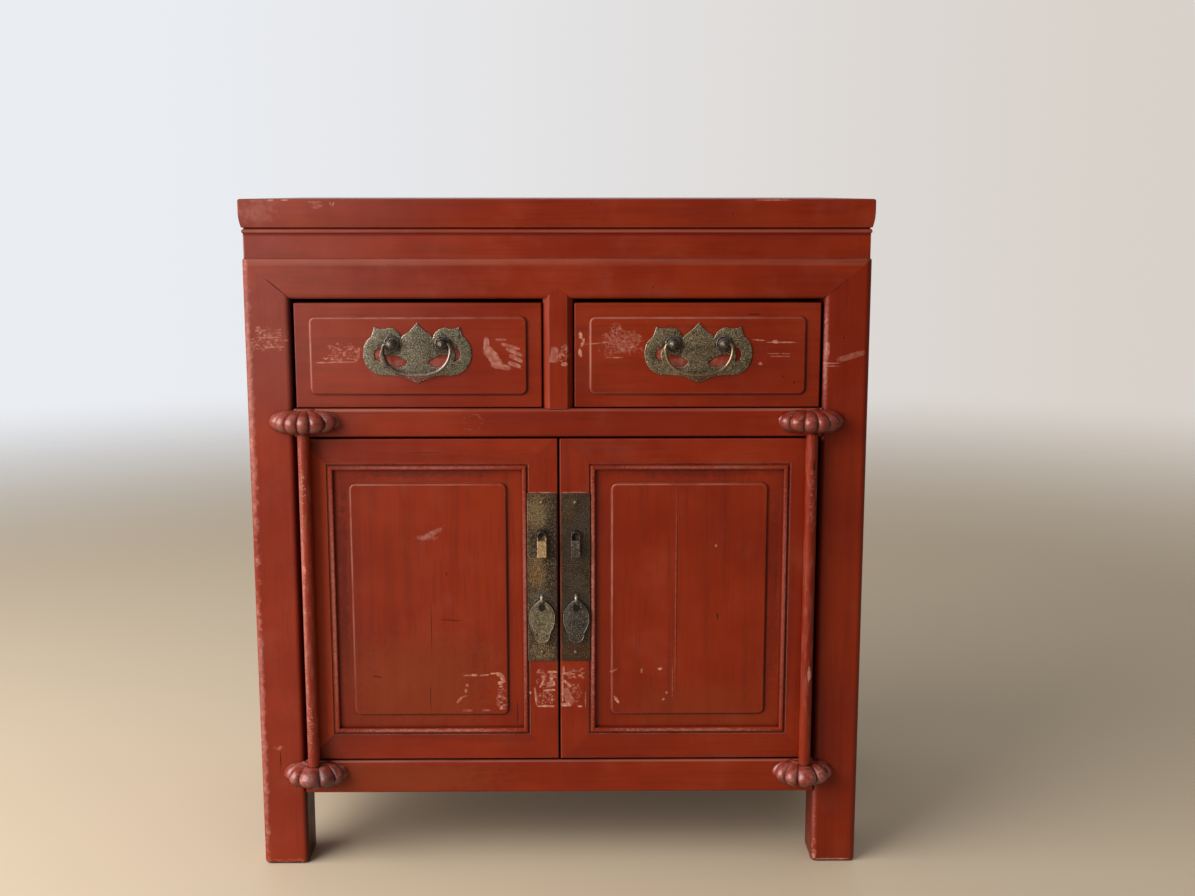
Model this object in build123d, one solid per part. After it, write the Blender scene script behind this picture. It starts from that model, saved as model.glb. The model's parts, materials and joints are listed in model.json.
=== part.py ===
from build123d import *
from math import cos, radians, sin
import os

# Small waisted cabinet with two drawers over two pivot-hung doors, in millimetres.
# +Z is up, the front faces -Y, +X is to the right of a person facing the front. The origin is
# at floor level, at the middle of the whole object's footprint.

# ---- driving dimensions -------------------------------------------------------------------
HEIGHT = 820.0
TOP_HALF_WIDTH = 370.5        # top frame, half of its width
TOP_THICK = 40.0
TOP_MEMBER = 75.0             # width of the top frame's members
TOP_OVERHANG = 2.0            # top frame past the legs at the front and the back
CASE_HALF_WIDTH = 369.0       # over the outer faces of the legs
CASE_DEPTH = 398.0            # over the front and back faces of the legs
BOSS_REACH = 34.0             # pivot bosses in front of the legs
WAIST_HEIGHT = 28.5
WAIST_SETBACK = 2.5
WAIST_THICK = 18.0

LEG_WIDTH = 55.0
LEG_DEPTH = 58.0
ARRIS = 7.0                   # rounding of the long edges of legs and rails
RAIL_THICK = 30.0
TOP_RAIL_HEIGHT = 47.5
DRAWER_ZONE = 130.0           # clear height of the drawer openings
MIDDLE_RAIL_HEIGHT = 34.0
BOTTOM_RAIL_LOW = 93.0
BOTTOM_RAIL_HIGH = 135.0
TENON_THICK = 10.0
TENON_LENGTH = 26.0
PANEL_TONGUE = 6.0            # how far a floating panel enters its groove
PANEL_THICK = 8.0

DIVIDER_HALF_WIDTH = 17.7
DIVIDER_CHAMFER = 7.0
DIVIDER_HEAD = 14.0           # height of the V-shaped head in the top rail
DIVIDER_HEAD_DEPTH = 8.0

DRAWER_INNER_X = 19.2         # drawer front, edge beside the divider
DRAWER_OUTER_X = 311.0        # drawer front, edge beside the leg
DRAWER_FRONT_HEIGHT = 124.3
DRAWER_FRONT_THICK = 18.0
DRAWER_STOP = 12.0            # depth of the blocks that stop a drawer at the back
DRAWER_SIDE_THICK = 12.0
FIELD_HEIGHT = 3.0            # raised fields stand this far above their margin

DOOR_THICK = 22.0
DOOR_SETBACK = 1.0            # door face behind the front of the legs
DOOR_SEAM = 2.5               # gap between the two doors
DOOR_GAP = 2.2                # gap above and below a door
DOOR_OUTER_X = 306.0
PANEL_X = (38.5, 276.0)       # outer edges of the bead round the door panel
PANEL_Z = (171.0, 505.5)
BEAD_WIDTH = 5.5
BEAD_HEIGHT = 1.3
GROOVE_WIDTH = 2.0
GROOVE_DEPTH = 1.5
POLE_X = 301.0
POLE_FORWARD = 13.0           # pole axis in front of the legs
POLE_RADIUS = 7.2
JOURNAL_RADIUS = 6.0
JOURNAL_LENGTH = 16.0
PIVOT_PLAY = 0.08             # radial play of a journal in its boss

BOSS_X = 300.5
BOSS_RADIUS = 41.75
BOSS_LOBES = 16
UPPER_BOSS_HEIGHT = 28.0
LOWER_BOSS_HEIGHT = 30.5

PLATE_THICK = 1.5
LOCK_PLATE_X = (2.4, 38.2)
LOCK_PLATE_Z = (262.8, 471.4)
STAPLE_X = 20.3
STAPLE_Z = 395.0              # lower end of the knuckle
PENDANT_X = 20.8
PENDANT_Z = 342.2             # axis that the pendant swings about
BAIL_PLATE_X = 166.0
BAIL_PLATE_Z = 640.0
BAIL_PLATE_THICK = 1.2
BAIL_POST_SPAN = 60.0
BAIL_AXIS_RISE = 11.5         # bail axis above the middle of its plate
BAIL_STANDOFF = 9.0           # bail axis in front of its plate
BAIL_WIRE_RADIUS = 1.7
BAIL_HALF_WIDTH = 38.6
BAIL_DROP = 35.0

# ---- places that follow from the driving dimensions ---------------------------------------
FRONT = (BOSS_REACH - CASE_DEPTH - TOP_OVERHANG) / 2
BACK = FRONT + CASE_DEPTH
LEG_IN = CASE_HALF_WIDTH - LEG_WIDTH
TOP_LOW = HEIGHT - TOP_THICK
CASE_TOP = TOP_LOW - WAIST_HEIGHT
TOP_RAIL_LOW = CASE_TOP - TOP_RAIL_HEIGHT
MIDDLE_RAIL_HIGH = TOP_RAIL_LOW - DRAWER_ZONE
MIDDLE_RAIL_LOW = MIDDLE_RAIL_HIGH - MIDDLE_RAIL_HEIGHT
DOOR_FACE = FRONT + DOOR_SETBACK
DOOR_BACK = DOOR_FACE + DOOR_THICK
DOOR_INNER_X = DOOR_SEAM / 2
DOOR_LOW = BOTTOM_RAIL_HIGH + DOOR_GAP
DOOR_HIGH = MIDDLE_RAIL_LOW - DOOR_GAP
POLE_Y = FRONT - POLE_FORWARD
LOCK_PLATE_FACE = DOOR_FACE - PLATE_THICK
DRAWER_LOW = MIDDLE_RAIL_HIGH + 1.0
DRAWER_HIGH = DRAWER_LOW + DRAWER_FRONT_HEIGHT
DRAWER_FIELD_FACE = FRONT + 1.0
DRAWER_MARGIN_FACE = DRAWER_FIELD_FACE + FIELD_HEIGHT
DRAWER_BACK = BACK - RAIL_THICK - DRAWER_STOP - 0.5
BAIL_PLATE_FACE = DRAWER_FIELD_FACE - BAIL_PLATE_THICK
BAIL_AXIS_Z = BAIL_PLATE_Z + BAIL_AXIS_RISE
BAIL_AXIS_Y = BAIL_PLATE_FACE - BAIL_STANDOFF


# ---- shared helpers -----------------------------------------------------------------------
def block(x, y, z):
    """Box from its low and high coordinate on each axis."""
    spans = [sorted(span) for span in (x, y, z)]
    size = [high - low for low, high in spans]
    centre = [(high + low) / 2 for low, high in spans]
    return Pos(*centre) * Box(*size)


def swept_outline(outline, axis, low, high):
    """Solid from a closed outline, given in the two other axes, between low and high on axis."""
    planes = {
        "X": Plane((low, 0, 0), x_dir=(0, 1, 0), z_dir=(1, 0, 0)),
        "Y": Plane((0, high, 0), x_dir=(1, 0, 0), z_dir=(0, -1, 0)),
        "Z": Plane((0, 0, low), x_dir=(1, 0, 0), z_dir=(0, 0, 1)),
    }
    return extrude(planes[axis] * make_face(outline), high - low)


def prism(points, axis, low, high):
    """Solid with a straight-sided outline."""
    return swept_outline(Polyline(*points, close=True), axis, low, high)


def rod(radius, start, end):
    """Round bar from one point to another."""
    way = Vector(*end) - Vector(*start)
    middle = Vector(*start) + way * 0.5
    return Plane(middle, z_dir=way) * Cylinder(radius, way.length)


def mirrored(part):
    """The same piece on the other side of the cabinet."""
    return mirror(part, about=Plane.YZ)


def flipped_to_back(part):
    """The same piece with the front and the back of the case changed over."""
    return mirror(part, about=Plane.XZ.offset(-(FRONT + BACK) / 2))


def rounded_field(x, z, margin_y, face_y, corner, edge):
    """Raised field of a panel: rounded corners, softened front edge."""
    width = x[1] - x[0]
    height = z[1] - z[0]
    middle = ((x[0] + x[1]) / 2, margin_y, (z[0] + z[1]) / 2)
    plane = Plane(middle, x_dir=(1, 0, 0), z_dir=(0, -1, 0))
    field = extrude(plane * RectangleRounded(width, height, corner), margin_y - face_y)
    front_edges = field.faces().sort_by(Axis.Y)[0].edges()
    return fillet(front_edges, edge)


def save(name, *pieces):
    """Write one node."""
    solids = [solid for piece in pieces for solid in piece.solids()]
    export_step(Compound(children=solids), f"parts/{name}.step")


# ---- carcass ------------------------------------------------------------------------------
def case_envelope():
    """The whole case below the waist, with its rounded upright corners and top edge."""
    top_round = 3.0
    case = block((-CASE_HALF_WIDTH, CASE_HALF_WIDTH), (FRONT, BACK), (0, CASE_TOP))
    case = fillet(case.edges().filter_by(Axis.Z), ARRIS)
    return fillet(case.faces().sort_by(Axis.Z)[-1].edges(), top_round)


def front_top_rail():
    """Upper front rail, mitred down to the inner corner of each leg."""
    rail = block((-CASE_HALF_WIDTH, CASE_HALF_WIDTH), (FRONT, FRONT + RAIL_THICK),
                 (TOP_RAIL_LOW, CASE_TOP))
    lower_front_edge = rail.edges().filter_by(Axis.X).group_by(Axis.Z)[0].sort_by(Axis.Y)[0]
    rail = fillet(lower_front_edge, ARRIS) & case_envelope()
    face_mitre = prism([(-LEG_IN, TOP_RAIL_LOW), (LEG_IN, TOP_RAIL_LOW),
                        (CASE_HALF_WIDTH, CASE_TOP), (-CASE_HALF_WIDTH, CASE_TOP)],
                       "Y", FRONT - 1, FRONT + RAIL_THICK)
    back_end = CASE_HALF_WIDTH - RAIL_THICK
    corner_mitre = prism([(-CASE_HALF_WIDTH, FRONT), (CASE_HALF_WIDTH, FRONT),
                          (back_end, FRONT + RAIL_THICK), (-back_end, FRONT + RAIL_THICK)],
                         "Z", TOP_RAIL_LOW, CASE_TOP)
    rail = rail & face_mitre & corner_mitre
    tenon_end = LEG_IN + TENON_LENGTH
    tenon = block((-tenon_end, tenon_end), tenon_y(), (TOP_RAIL_LOW + 8, CASE_TOP - 12))
    return rail + tenon


def tenon_y():
    """Depth range of the tenons of the front rails."""
    return (FRONT + 16, FRONT + 16 + TENON_THICK)


def plain_front_rail(low, high):
    """Rail square to the legs, with a tenon at each end."""
    rail = block((-LEG_IN, LEG_IN), (FRONT, FRONT + RAIL_THICK), (low, high))
    front_edges = rail.edges().filter_by(Axis.X).group_by(Axis.Y)[0]
    rail = fillet(front_edges, ARRIS / 2)
    tenon_end = LEG_IN + TENON_LENGTH
    tenon = block((-tenon_end, tenon_end), tenon_y(), (low + 6, high - 9))
    return rail + tenon


def drawer_divider():
    """Post between the drawers, with chamfered edges and a V-shaped head."""
    half = DIVIDER_HALF_WIDTH
    post = block((-half, half), (FRONT, FRONT + RAIL_THICK), (MIDDLE_RAIL_HIGH, TOP_RAIL_LOW))
    front_edges = post.edges().filter_by(Axis.Z).group_by(Axis.Y)[0]
    post = chamfer(front_edges, DIVIDER_CHAMFER)
    head_low = TOP_RAIL_LOW - ARRIS
    head = prism([(-half, head_low), (half, head_low), (half, TOP_RAIL_LOW),
                  (0, TOP_RAIL_LOW + DIVIDER_HEAD), (-half, TOP_RAIL_LOW)],
                 "Y", FRONT, FRONT + DIVIDER_HEAD_DEPTH)
    tenons = block((-half / 2, half / 2), tenon_y(),
                   (MIDDLE_RAIL_HIGH - TENON_THICK, TOP_RAIL_LOW + TENON_THICK))
    slope = DIVIDER_CHAMFER
    for side in (-1, 1):
        head -= prism([(side * half, FRONT), (side * (half - slope), FRONT),
                       (side * half, FRONT + slope)], "Z", head_low, TOP_RAIL_LOW + DIVIDER_HEAD)
    return post + head + tenons


def side_rail(low, high, mitre):
    """Rail of the right side, between the front and the back leg."""
    x = (CASE_HALF_WIDTH - RAIL_THICK, CASE_HALF_WIDTH)
    tenon_x = (x[0] + 4, x[0] + 4 + TENON_THICK)
    shoulders = (FRONT + LEG_DEPTH, BACK - LEG_DEPTH)
    tenon_reach = LEG_DEPTH - RAIL_THICK - 2
    tenon = block(tenon_x, (shoulders[0] - tenon_reach, shoulders[1] + tenon_reach),
                  (low + 8, high - 12))
    if not mitre:
        return block(x, shoulders, (low, high)) + tenon
    rail = block(x, (FRONT, BACK), (low, high)) & case_envelope()
    face_mitre = prism([(shoulders[0], low), (shoulders[1], low), (BACK, high), (FRONT, high)],
                       "X", x[0], x[1])
    corner_mitre = prism([(x[1], FRONT), (x[1], BACK), (x[0], BACK - RAIL_THICK),
                          (x[0], FRONT + RAIL_THICK)], "Z", low, high)
    return (rail & face_mitre & corner_mitre) + tenon


def back_top_rail():
    """Upper back rail: the front one's shape, without the post's head in it."""
    return flipped_to_back(front_top_rail())


def leg_blank():
    """Front right leg before its mortises: post, worn foot and tenon into the top frame."""
    foot_round = 4.0
    post = block((LEG_IN, CASE_HALF_WIDTH), (FRONT, FRONT + LEG_DEPTH), (0, CASE_TOP))
    post = fillet(post.edges().filter_by(Axis.Z), ARRIS)
    post = fillet(post.faces().sort_by(Axis.Z)[0].edges(), foot_round)
    top_tenon = block((LEG_IN + 6, LEG_IN + 30), (FRONT + 24, FRONT + 50),
                      (CASE_TOP, TOP_LOW + 22))
    return (post & case_envelope()) + top_tenon


def top_member_outline():
    """Edge moulding of the top: thumb above a small bead. First value is inwards from the edge."""
    bead_in = 4.6
    bead_out = 2.7
    bead_high = TOP_LOW + 5.6
    groove = (5.4, TOP_LOW + 6.4)
    thumb_in = 2.5
    thumb_low = TOP_LOW + 7.4
    thumb_high = TOP_LOW + 27.0
    arris = 2.6
    return [
        Line((TOP_MEMBER, TOP_LOW), (bead_in, TOP_LOW)),
        ThreePointArc((bead_in, TOP_LOW), (bead_out, (TOP_LOW + bead_high) / 2),
                      (bead_in, bead_high)),
        Line((bead_in, bead_high), groove),
        Line(groove, (thumb_in, thumb_low)),
        ThreePointArc((thumb_in, thumb_low), (0.75, thumb_low + 8.0), (0, thumb_high)),
        Line((0, thumb_high), (0, HEIGHT - arris)),
        ThreePointArc((0, HEIGHT - arris), (arris * 0.3, HEIGHT - arris * 0.3), (arris, HEIGHT)),
        Line((arris, HEIGHT), (TOP_MEMBER, HEIGHT)),
        Line((TOP_MEMBER, HEIGHT), (TOP_MEMBER, TOP_LOW)),
    ]


def top_frame():
    """Four mitred members of the top frame: front, back, left, right."""
    half = TOP_HALF_WIDTH
    y_low = FRONT - TOP_OVERHANG
    y_high = BACK + TOP_OVERHANG
    inner = half - TOP_MEMBER
    face = make_face(top_member_outline())
    long_plane = Plane((-half, y_low, 0), x_dir=(0, 1, 0), z_dir=(1, 0, 0))
    front = extrude(long_plane * face, 2 * half)
    front &= prism([(-half, y_low), (half, y_low), (inner, y_low + TOP_MEMBER),
                    (-inner, y_low + TOP_MEMBER)], "Z", TOP_LOW, HEIGHT)
    short_plane = Plane((half, y_low, 0), x_dir=(-1, 0, 0), z_dir=(0, 1, 0))
    right = extrude(short_plane * face, y_high - y_low)
    right &= prism([(half, y_low), (half, y_high), (inner, y_high - TOP_MEMBER),
                    (inner, y_low + TOP_MEMBER)], "Z", TOP_LOW, HEIGHT)
    return [front, flipped_to_back(front), mirrored(right), right]


def top_panel():
    """Board in the top frame, flush on top, with a tongue all round."""
    thick = 14.0
    tongue_high = HEIGHT - 6.0
    x = TOP_HALF_WIDTH - TOP_MEMBER
    y_low = FRONT - TOP_OVERHANG + TOP_MEMBER
    y_high = BACK + TOP_OVERHANG - TOP_MEMBER
    board = block((-x, x), (y_low, y_high), (HEIGHT - thick, HEIGHT))
    tongue = block((-x - PANEL_TONGUE, x + PANEL_TONGUE),
                   (y_low - PANEL_TONGUE, y_high + PANEL_TONGUE), (HEIGHT - thick, tongue_high))
    return board + tongue


def top_battens():
    """Three cross battens under the top panel, tenoned into the long members."""
    width = 32.0
    spacing = 180.0
    z = (TOP_LOW + 4, HEIGHT - 14.0)
    y_low = FRONT - TOP_OVERHANG + TOP_MEMBER - TENON_THICK
    y_high = BACK + TOP_OVERHANG - TOP_MEMBER + TENON_THICK
    return [block((x - width / 2, x + width / 2), (y_low, y_high), z)
            for x in (-spacing, 0, spacing)]


def waist_frieze():
    """Four mitred strips of the waist: front, back, left, right."""
    x_out = CASE_HALF_WIDTH - WAIST_SETBACK
    x_in = x_out - WAIST_THICK
    y_out = FRONT + WAIST_SETBACK
    y_in = y_out + WAIST_THICK
    y_far = BACK - WAIST_SETBACK
    front = prism([(-x_out, y_out), (x_out, y_out), (x_in, y_in), (-x_in, y_in)],
                  "Z", CASE_TOP, TOP_LOW)
    right = prism([(x_out, y_out), (x_out, y_far), (x_in, y_far - WAIST_THICK), (x_in, y_in)],
                  "Z", CASE_TOP, TOP_LOW)
    return [front, flipped_to_back(front), mirrored(right), right]


def side_panel():
    """Floating panel of the right side."""
    x = (CASE_HALF_WIDTH - 17.0, CASE_HALF_WIDTH - 17.0 + PANEL_THICK)
    y = (FRONT + LEG_DEPTH - PANEL_TONGUE, BACK - LEG_DEPTH + PANEL_TONGUE)
    return block(x, y, (BOTTOM_RAIL_HIGH - PANEL_TONGUE, TOP_RAIL_LOW + PANEL_TONGUE))


def back_panels():
    """Floating panels of the back, above and below the middle back rail."""
    x = (-LEG_IN - PANEL_TONGUE, LEG_IN + PANEL_TONGUE)
    y = (BACK - 18.0, BACK - 18.0 + PANEL_THICK)
    return [block(x, y, (low - PANEL_TONGUE, high + PANEL_TONGUE))
            for low, high in ((BOTTOM_RAIL_HIGH, MIDDLE_RAIL_LOW), (MIDDLE_RAIL_HIGH, TOP_RAIL_LOW))]


def cabinet_floor():
    """Floor board of the cupboard, in grooves of the four bottom rails."""
    thick = 10.0
    low = BOTTOM_RAIL_HIGH - 16.0
    into_side = CASE_HALF_WIDTH - RAIL_THICK + 8
    into_front = FRONT + RAIL_THICK - 8
    into_back = BACK - RAIL_THICK + 8
    return block((-into_side, into_side), (into_front, into_back), (low, low + thick))


def drawer_runners():
    """Left, middle and right runner, with the guides beside and the stops behind the drawers."""
    thick = 18.0
    tenon = 3.5
    y = (FRONT + RAIL_THICK, BACK - RAIL_THICK)
    y_tenon = (y[0] - tenon, y[1] + tenon)
    z = (MIDDLE_RAIL_HIGH - thick, MIDDLE_RAIL_HIGH)
    z_tenon = (z[0] + 4, z[1] - 4)
    guide_z = (MIDDLE_RAIL_HIGH, MIDDLE_RAIL_HIGH + 26)
    side_x = (LEG_IN - 26, LEG_IN + 20)
    side_board = block(side_x, (FRONT + LEG_DEPTH, BACK - LEG_DEPTH), z)
    side_board += block((side_x[0], LEG_IN), y, z)
    side_board += block((side_x[0] + 3, LEG_IN - 3), y_tenon, z_tenon)
    side_guide = block((LEG_IN - 2.8, LEG_IN + 14), (FRONT + LEG_DEPTH, BACK - LEG_DEPTH), guide_z)
    middle_board = block((-46, 46), y, z) + block((-40, 40), y_tenon, z_tenon)
    middle_guide = block((-DIVIDER_HALF_WIDTH, DIVIDER_HALF_WIDTH), y, guide_z)
    stop = block((LEG_IN - 22, LEG_IN - 6), (y[1] - DRAWER_STOP, y[1]), guide_z)
    inner_stop = block((24, 40), (y[1] - DRAWER_STOP, y[1]), guide_z)
    right = [side_board, side_guide, stop, inner_stop]
    return [middle_board, middle_guide] + right + [mirrored(piece) for piece in right]


def door_stops():
    """Strips behind the door tops and bottoms that the closed doors rest on."""
    reach = 8.0
    half_length = 240.0
    y = (DOOR_BACK + 0.4, FRONT + RAIL_THICK)
    upper = block((-half_length, half_length), y, (MIDDLE_RAIL_LOW - reach - DOOR_GAP,
                                                   MIDDLE_RAIL_LOW))
    lower = block((-half_length, half_length), y, (BOTTOM_RAIL_HIGH,
                                                   BOTTOM_RAIL_HIGH + reach + DOOR_GAP))
    return [upper, lower]


# ---- pivot bosses -------------------------------------------------------------------------
def boss_rim():
    """Scalloped plan of a boss."""
    dip = 2.6
    step = 360 / BOSS_LOBES
    centre = (BOSS_X, FRONT - BOSS_REACH + BOSS_RADIUS)

    def at(angle, radius):
        turn = radians(angle)
        return (centre[0] + radius * cos(turn), centre[1] + radius * sin(turn))

    return [ThreePointArc(at(i * step, BOSS_RADIUS - dip), at((i + 0.5) * step, BOSS_RADIUS),
                          at((i + 1) * step, BOSS_RADIUS - dip)) for i in range(BOSS_LOBES)]


def boss(low, high, flat_low, flat_high, widest):
    """Right-hand boss: a lobed lens, flat above and below, sawn off at the case's face."""
    centre_y = FRONT - BOSS_REACH + BOSS_RADIUS
    radius = BOSS_RADIUS + 0.5
    bulge = 0.74
    lower_mid = (flat_low + (radius - flat_low) * bulge, widest - (widest - low) * bulge)
    upper_mid = (flat_high + (radius - flat_high) * bulge, widest + (high - widest) * bulge)
    outline = [
        Line((0, low), (flat_low, low)),
        ThreePointArc((flat_low, low), lower_mid, (radius, widest)),
        ThreePointArc((radius, widest), upper_mid, (flat_high, high)),
        Line((flat_high, high), (0, high)),
        Line((0, high), (0, low)),
    ]
    lens = revolve(Plane.XZ * make_face(outline), Axis.Z)
    lens = Pos(BOSS_X, centre_y, 0) * lens
    lens &= swept_outline(boss_rim(), "Z", low, high)
    lens = Pos(0, FRONT - BOSS_REACH - lens.bounding_box().min.Y, 0) * lens
    return lens & block((BOSS_X - 60, BOSS_X + 60), (FRONT - 60, FRONT), (low, high))


def upper_boss():
    """Boss at the top of the right door, bored from below."""
    low = MIDDLE_RAIL_HIGH - UPPER_BOSS_HEIGHT
    body = boss(low, MIDDLE_RAIL_HIGH, 22.0, 16.0, low + 14.5)
    depth = JOURNAL_LENGTH + 3
    return body - rod(JOURNAL_RADIUS + PIVOT_PLAY, (POLE_X, POLE_Y, low - 1),
                      (POLE_X, POLE_Y, low + depth))


def lower_boss():
    """Boss at the foot of the right door, bored from above."""
    low = BOTTOM_RAIL_HIGH - LOWER_BOSS_HEIGHT
    high = BOTTOM_RAIL_HIGH - 0.3
    body = boss(low, high, 9.0, 22.0, low + 17.0)
    depth = JOURNAL_LENGTH + 1
    return body - rod(JOURNAL_RADIUS + PIVOT_PLAY, (POLE_X, POLE_Y, high + 1),
                      (POLE_X, POLE_Y, high - depth))


# ---- right door ---------------------------------------------------------------------------
def door_frame_ring():
    """The right door's frame in one piece: flat, groove, and raised bead round the opening."""
    bead_inner_x = (PANEL_X[0] + BEAD_WIDTH, PANEL_X[1] - BEAD_WIDTH)
    bead_inner_z = (PANEL_Z[0] + BEAD_WIDTH, PANEL_Z[1] - BEAD_WIDTH)
    groove_x = (PANEL_X[0] - GROOVE_WIDTH, PANEL_X[1] + GROOVE_WIDTH)
    groove_z = (PANEL_Z[0] - GROOVE_WIDTH, PANEL_Z[1] + GROOVE_WIDTH)
    opening = block(bead_inner_x, (DOOR_FACE - 10, DOOR_BACK + 10), bead_inner_z)
    bead_round = 2.0
    frame = block((DOOR_INNER_X, DOOR_OUTER_X), (DOOR_FACE, DOOR_BACK), (DOOR_LOW, DOOR_HIGH))
    frame = fillet(frame.edges().group_by(Axis.Y)[0], 1.2)
    frame -= block(groove_x, (DOOR_FACE - 1, DOOR_FACE + GROOVE_DEPTH), groove_z)
    bead = block(PANEL_X, (DOOR_FACE - BEAD_HEIGHT, DOOR_BACK), PANEL_Z) - opening
    bead = fillet(bead.faces().sort_by(Axis.Y)[0].edges(), bead_round)
    return (frame - opening) + bead


def split_at_mitres(ring):
    """Pivot stile, lock stile, top rail and bottom rail, parted at 45 degrees from the opening."""
    x = (PANEL_X[0] + BEAD_WIDTH, PANEL_X[1] - BEAD_WIDTH)
    z = (PANEL_Z[0] + BEAD_WIDTH, PANEL_Z[1] - BEAD_WIDTH)
    y = (DOOR_FACE - 10, DOOR_BACK + 10)
    past = 60.0
    upper = prism([(x[0], z[1]), (x[1], z[1]), (x[1] + past, z[1] + past),
                   (x[0] - past, z[1] + past)], "Y", *y)
    lower = prism([(x[0], z[0]), (x[1], z[0]), (x[1] + past, z[0] - past),
                   (x[0] - past, z[0] - past)], "Y", *y)
    lock, pivot = (ring - [upper, lower]).solids().sort_by(Axis.X)
    return pivot, lock, ring & upper, ring & lower


def door_tenons(z_low, z_high):
    """Tenons at both ends of one rail of the door, hidden behind the mitres."""
    y = (DOOR_FACE + 12, DOOR_FACE + 19)
    reach = 24.0
    inner_x = (PANEL_X[0] + BEAD_WIDTH, PANEL_X[1] - BEAD_WIDTH)
    return block((inner_x[0] - reach, inner_x[1] + reach), y, (z_low, z_high))


def door_panel():
    """Floating door panel with a raised field."""
    margin = DOOR_FACE + 4.5
    bead_inner_x = (PANEL_X[0] + BEAD_WIDTH, PANEL_X[1] - BEAD_WIDTH)
    bead_inner_z = (PANEL_Z[0] + BEAD_WIDTH, PANEL_Z[1] - BEAD_WIDTH)
    field_margin = 19.0
    x = (bead_inner_x[0] - PANEL_TONGUE, bead_inner_x[1] + PANEL_TONGUE)
    z = (bead_inner_z[0] - PANEL_TONGUE, bead_inner_z[1] + PANEL_TONGUE)
    board = block(x, (margin, margin + PANEL_THICK), z)
    field_x = (bead_inner_x[0] + field_margin, bead_inner_x[1] - field_margin)
    field_z = (bead_inner_z[0] + field_margin - 2, bead_inner_z[1] - field_margin + 2)
    return board + rounded_field(field_x, field_z, margin, margin - FIELD_HEIGHT, 7.0, 2.2)


def pivot_pole():
    """Pole of the door, with a journal at each end and a neck that joins it to the stile."""
    play = 0.4
    low = BOTTOM_RAIL_HIGH - 0.3 + play
    high = MIDDLE_RAIL_HIGH - UPPER_BOSS_HEIGHT - play
    pole = rod(POLE_RADIUS, (POLE_X, POLE_Y, low), (POLE_X, POLE_Y, high))
    pole += rod(JOURNAL_RADIUS, (POLE_X, POLE_Y, low - JOURNAL_LENGTH),
                (POLE_X, POLE_Y, high + JOURNAL_LENGTH))
    neck_half = 3.7
    neck = block((POLE_X - neck_half, POLE_X + neck_half), (POLE_Y, DOOR_FACE + 2),
                 (DOOR_LOW + 1.2, DOOR_HIGH - 1.2))
    return pole + neck


def face_plate():
    """Rectangular lock plate on the lock stile."""
    plate = block(LOCK_PLATE_X, (LOCK_PLATE_FACE, DOOR_FACE), LOCK_PLATE_Z)
    return chamfer(plate.faces().sort_by(Axis.Y)[0].edges(), 0.5)


def plate_nails():
    """Domed nails at the top and the bottom of the lock plate."""
    inset = 11.0
    return [domed_nail(STAPLE_X, LOCK_PLATE_FACE, z, 2.6, 1.4, 14.0)
            for z in (LOCK_PLATE_Z[0] + inset, LOCK_PLATE_Z[1] - inset)]


def domed_nail(x, y, z, radius, rise, length):
    """Nail with a domed head whose underside lies at y, driven towards +Y."""
    ball = (radius ** 2 + rise ** 2) / (2 * rise)
    head = Pos(x, y + ball - rise, z) * Sphere(ball)
    head &= block((x - 2 * radius, x + 2 * radius), (y - 2 * rise, y), (z - 2 * radius, z + 2 * radius))
    return head + rod(0.9, (x, y, z), (x, y + length, z))


def lock_staple():
    """Knuckle for a bar lock: a block with a cross hole under an arched eye."""
    half = 5.75
    rim = 1.5
    reach = 12.5
    block_top = STAPLE_Z + 20.5
    arch_depth = 6.5
    face = LOCK_PLATE_FACE
    x = (STAPLE_X - half, STAPLE_X + half)
    body = block(x, (face - reach, face), (STAPLE_Z, block_top))
    body = fillet(body.faces().sort_by(Axis.Y)[0].edges(), 1.2)
    arch_straight = block_top + 5.0

    def arch(width, low):
        return [Line((STAPLE_X - width, low), (STAPLE_X + width, low)),
                Line((STAPLE_X + width, low), (STAPLE_X + width, arch_straight)),
                ThreePointArc((STAPLE_X + width, arch_straight), (STAPLE_X, arch_straight + width),
                              (STAPLE_X - width, arch_straight)),
                Line((STAPLE_X - width, arch_straight), (STAPLE_X - width, low))]

    outer = swept_outline(arch(half, block_top - 3), "Y", face - arch_depth, face)
    inner = swept_outline(arch(half - rim, block_top), "Y", face - arch_depth - 1, face - 1)
    pin_hole = block((x[0] - 1, x[1] + 1), (face - 9.6, face - 3.4),
                     (STAPLE_Z + 6, STAPLE_Z + 13))
    tang = block((STAPLE_X - 2, STAPLE_X + 2), (face, DOOR_FACE + 15),
                 (STAPLE_Z + 4, block_top - 4))
    return body + outer - inner - pin_hole + tang


def pendant_ring():
    """Eye of the pendant: a ring with its back third and its tang in the stile."""
    radius = 5.0
    wire = 1.2
    ring = Pos(PENDANT_X, pendant_y(), PENDANT_Z) * Rot(0, 90, 0) * Torus(radius, wire)
    tang = rod(1.4, (PENDANT_X, pendant_y() + radius, PENDANT_Z),
               (PENDANT_X, DOOR_FACE + 14, PENDANT_Z))
    return ring + tang


def pendant_y():
    """Plane that the pendant hangs in."""
    return LOCK_PLATE_FACE - 3.4


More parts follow.
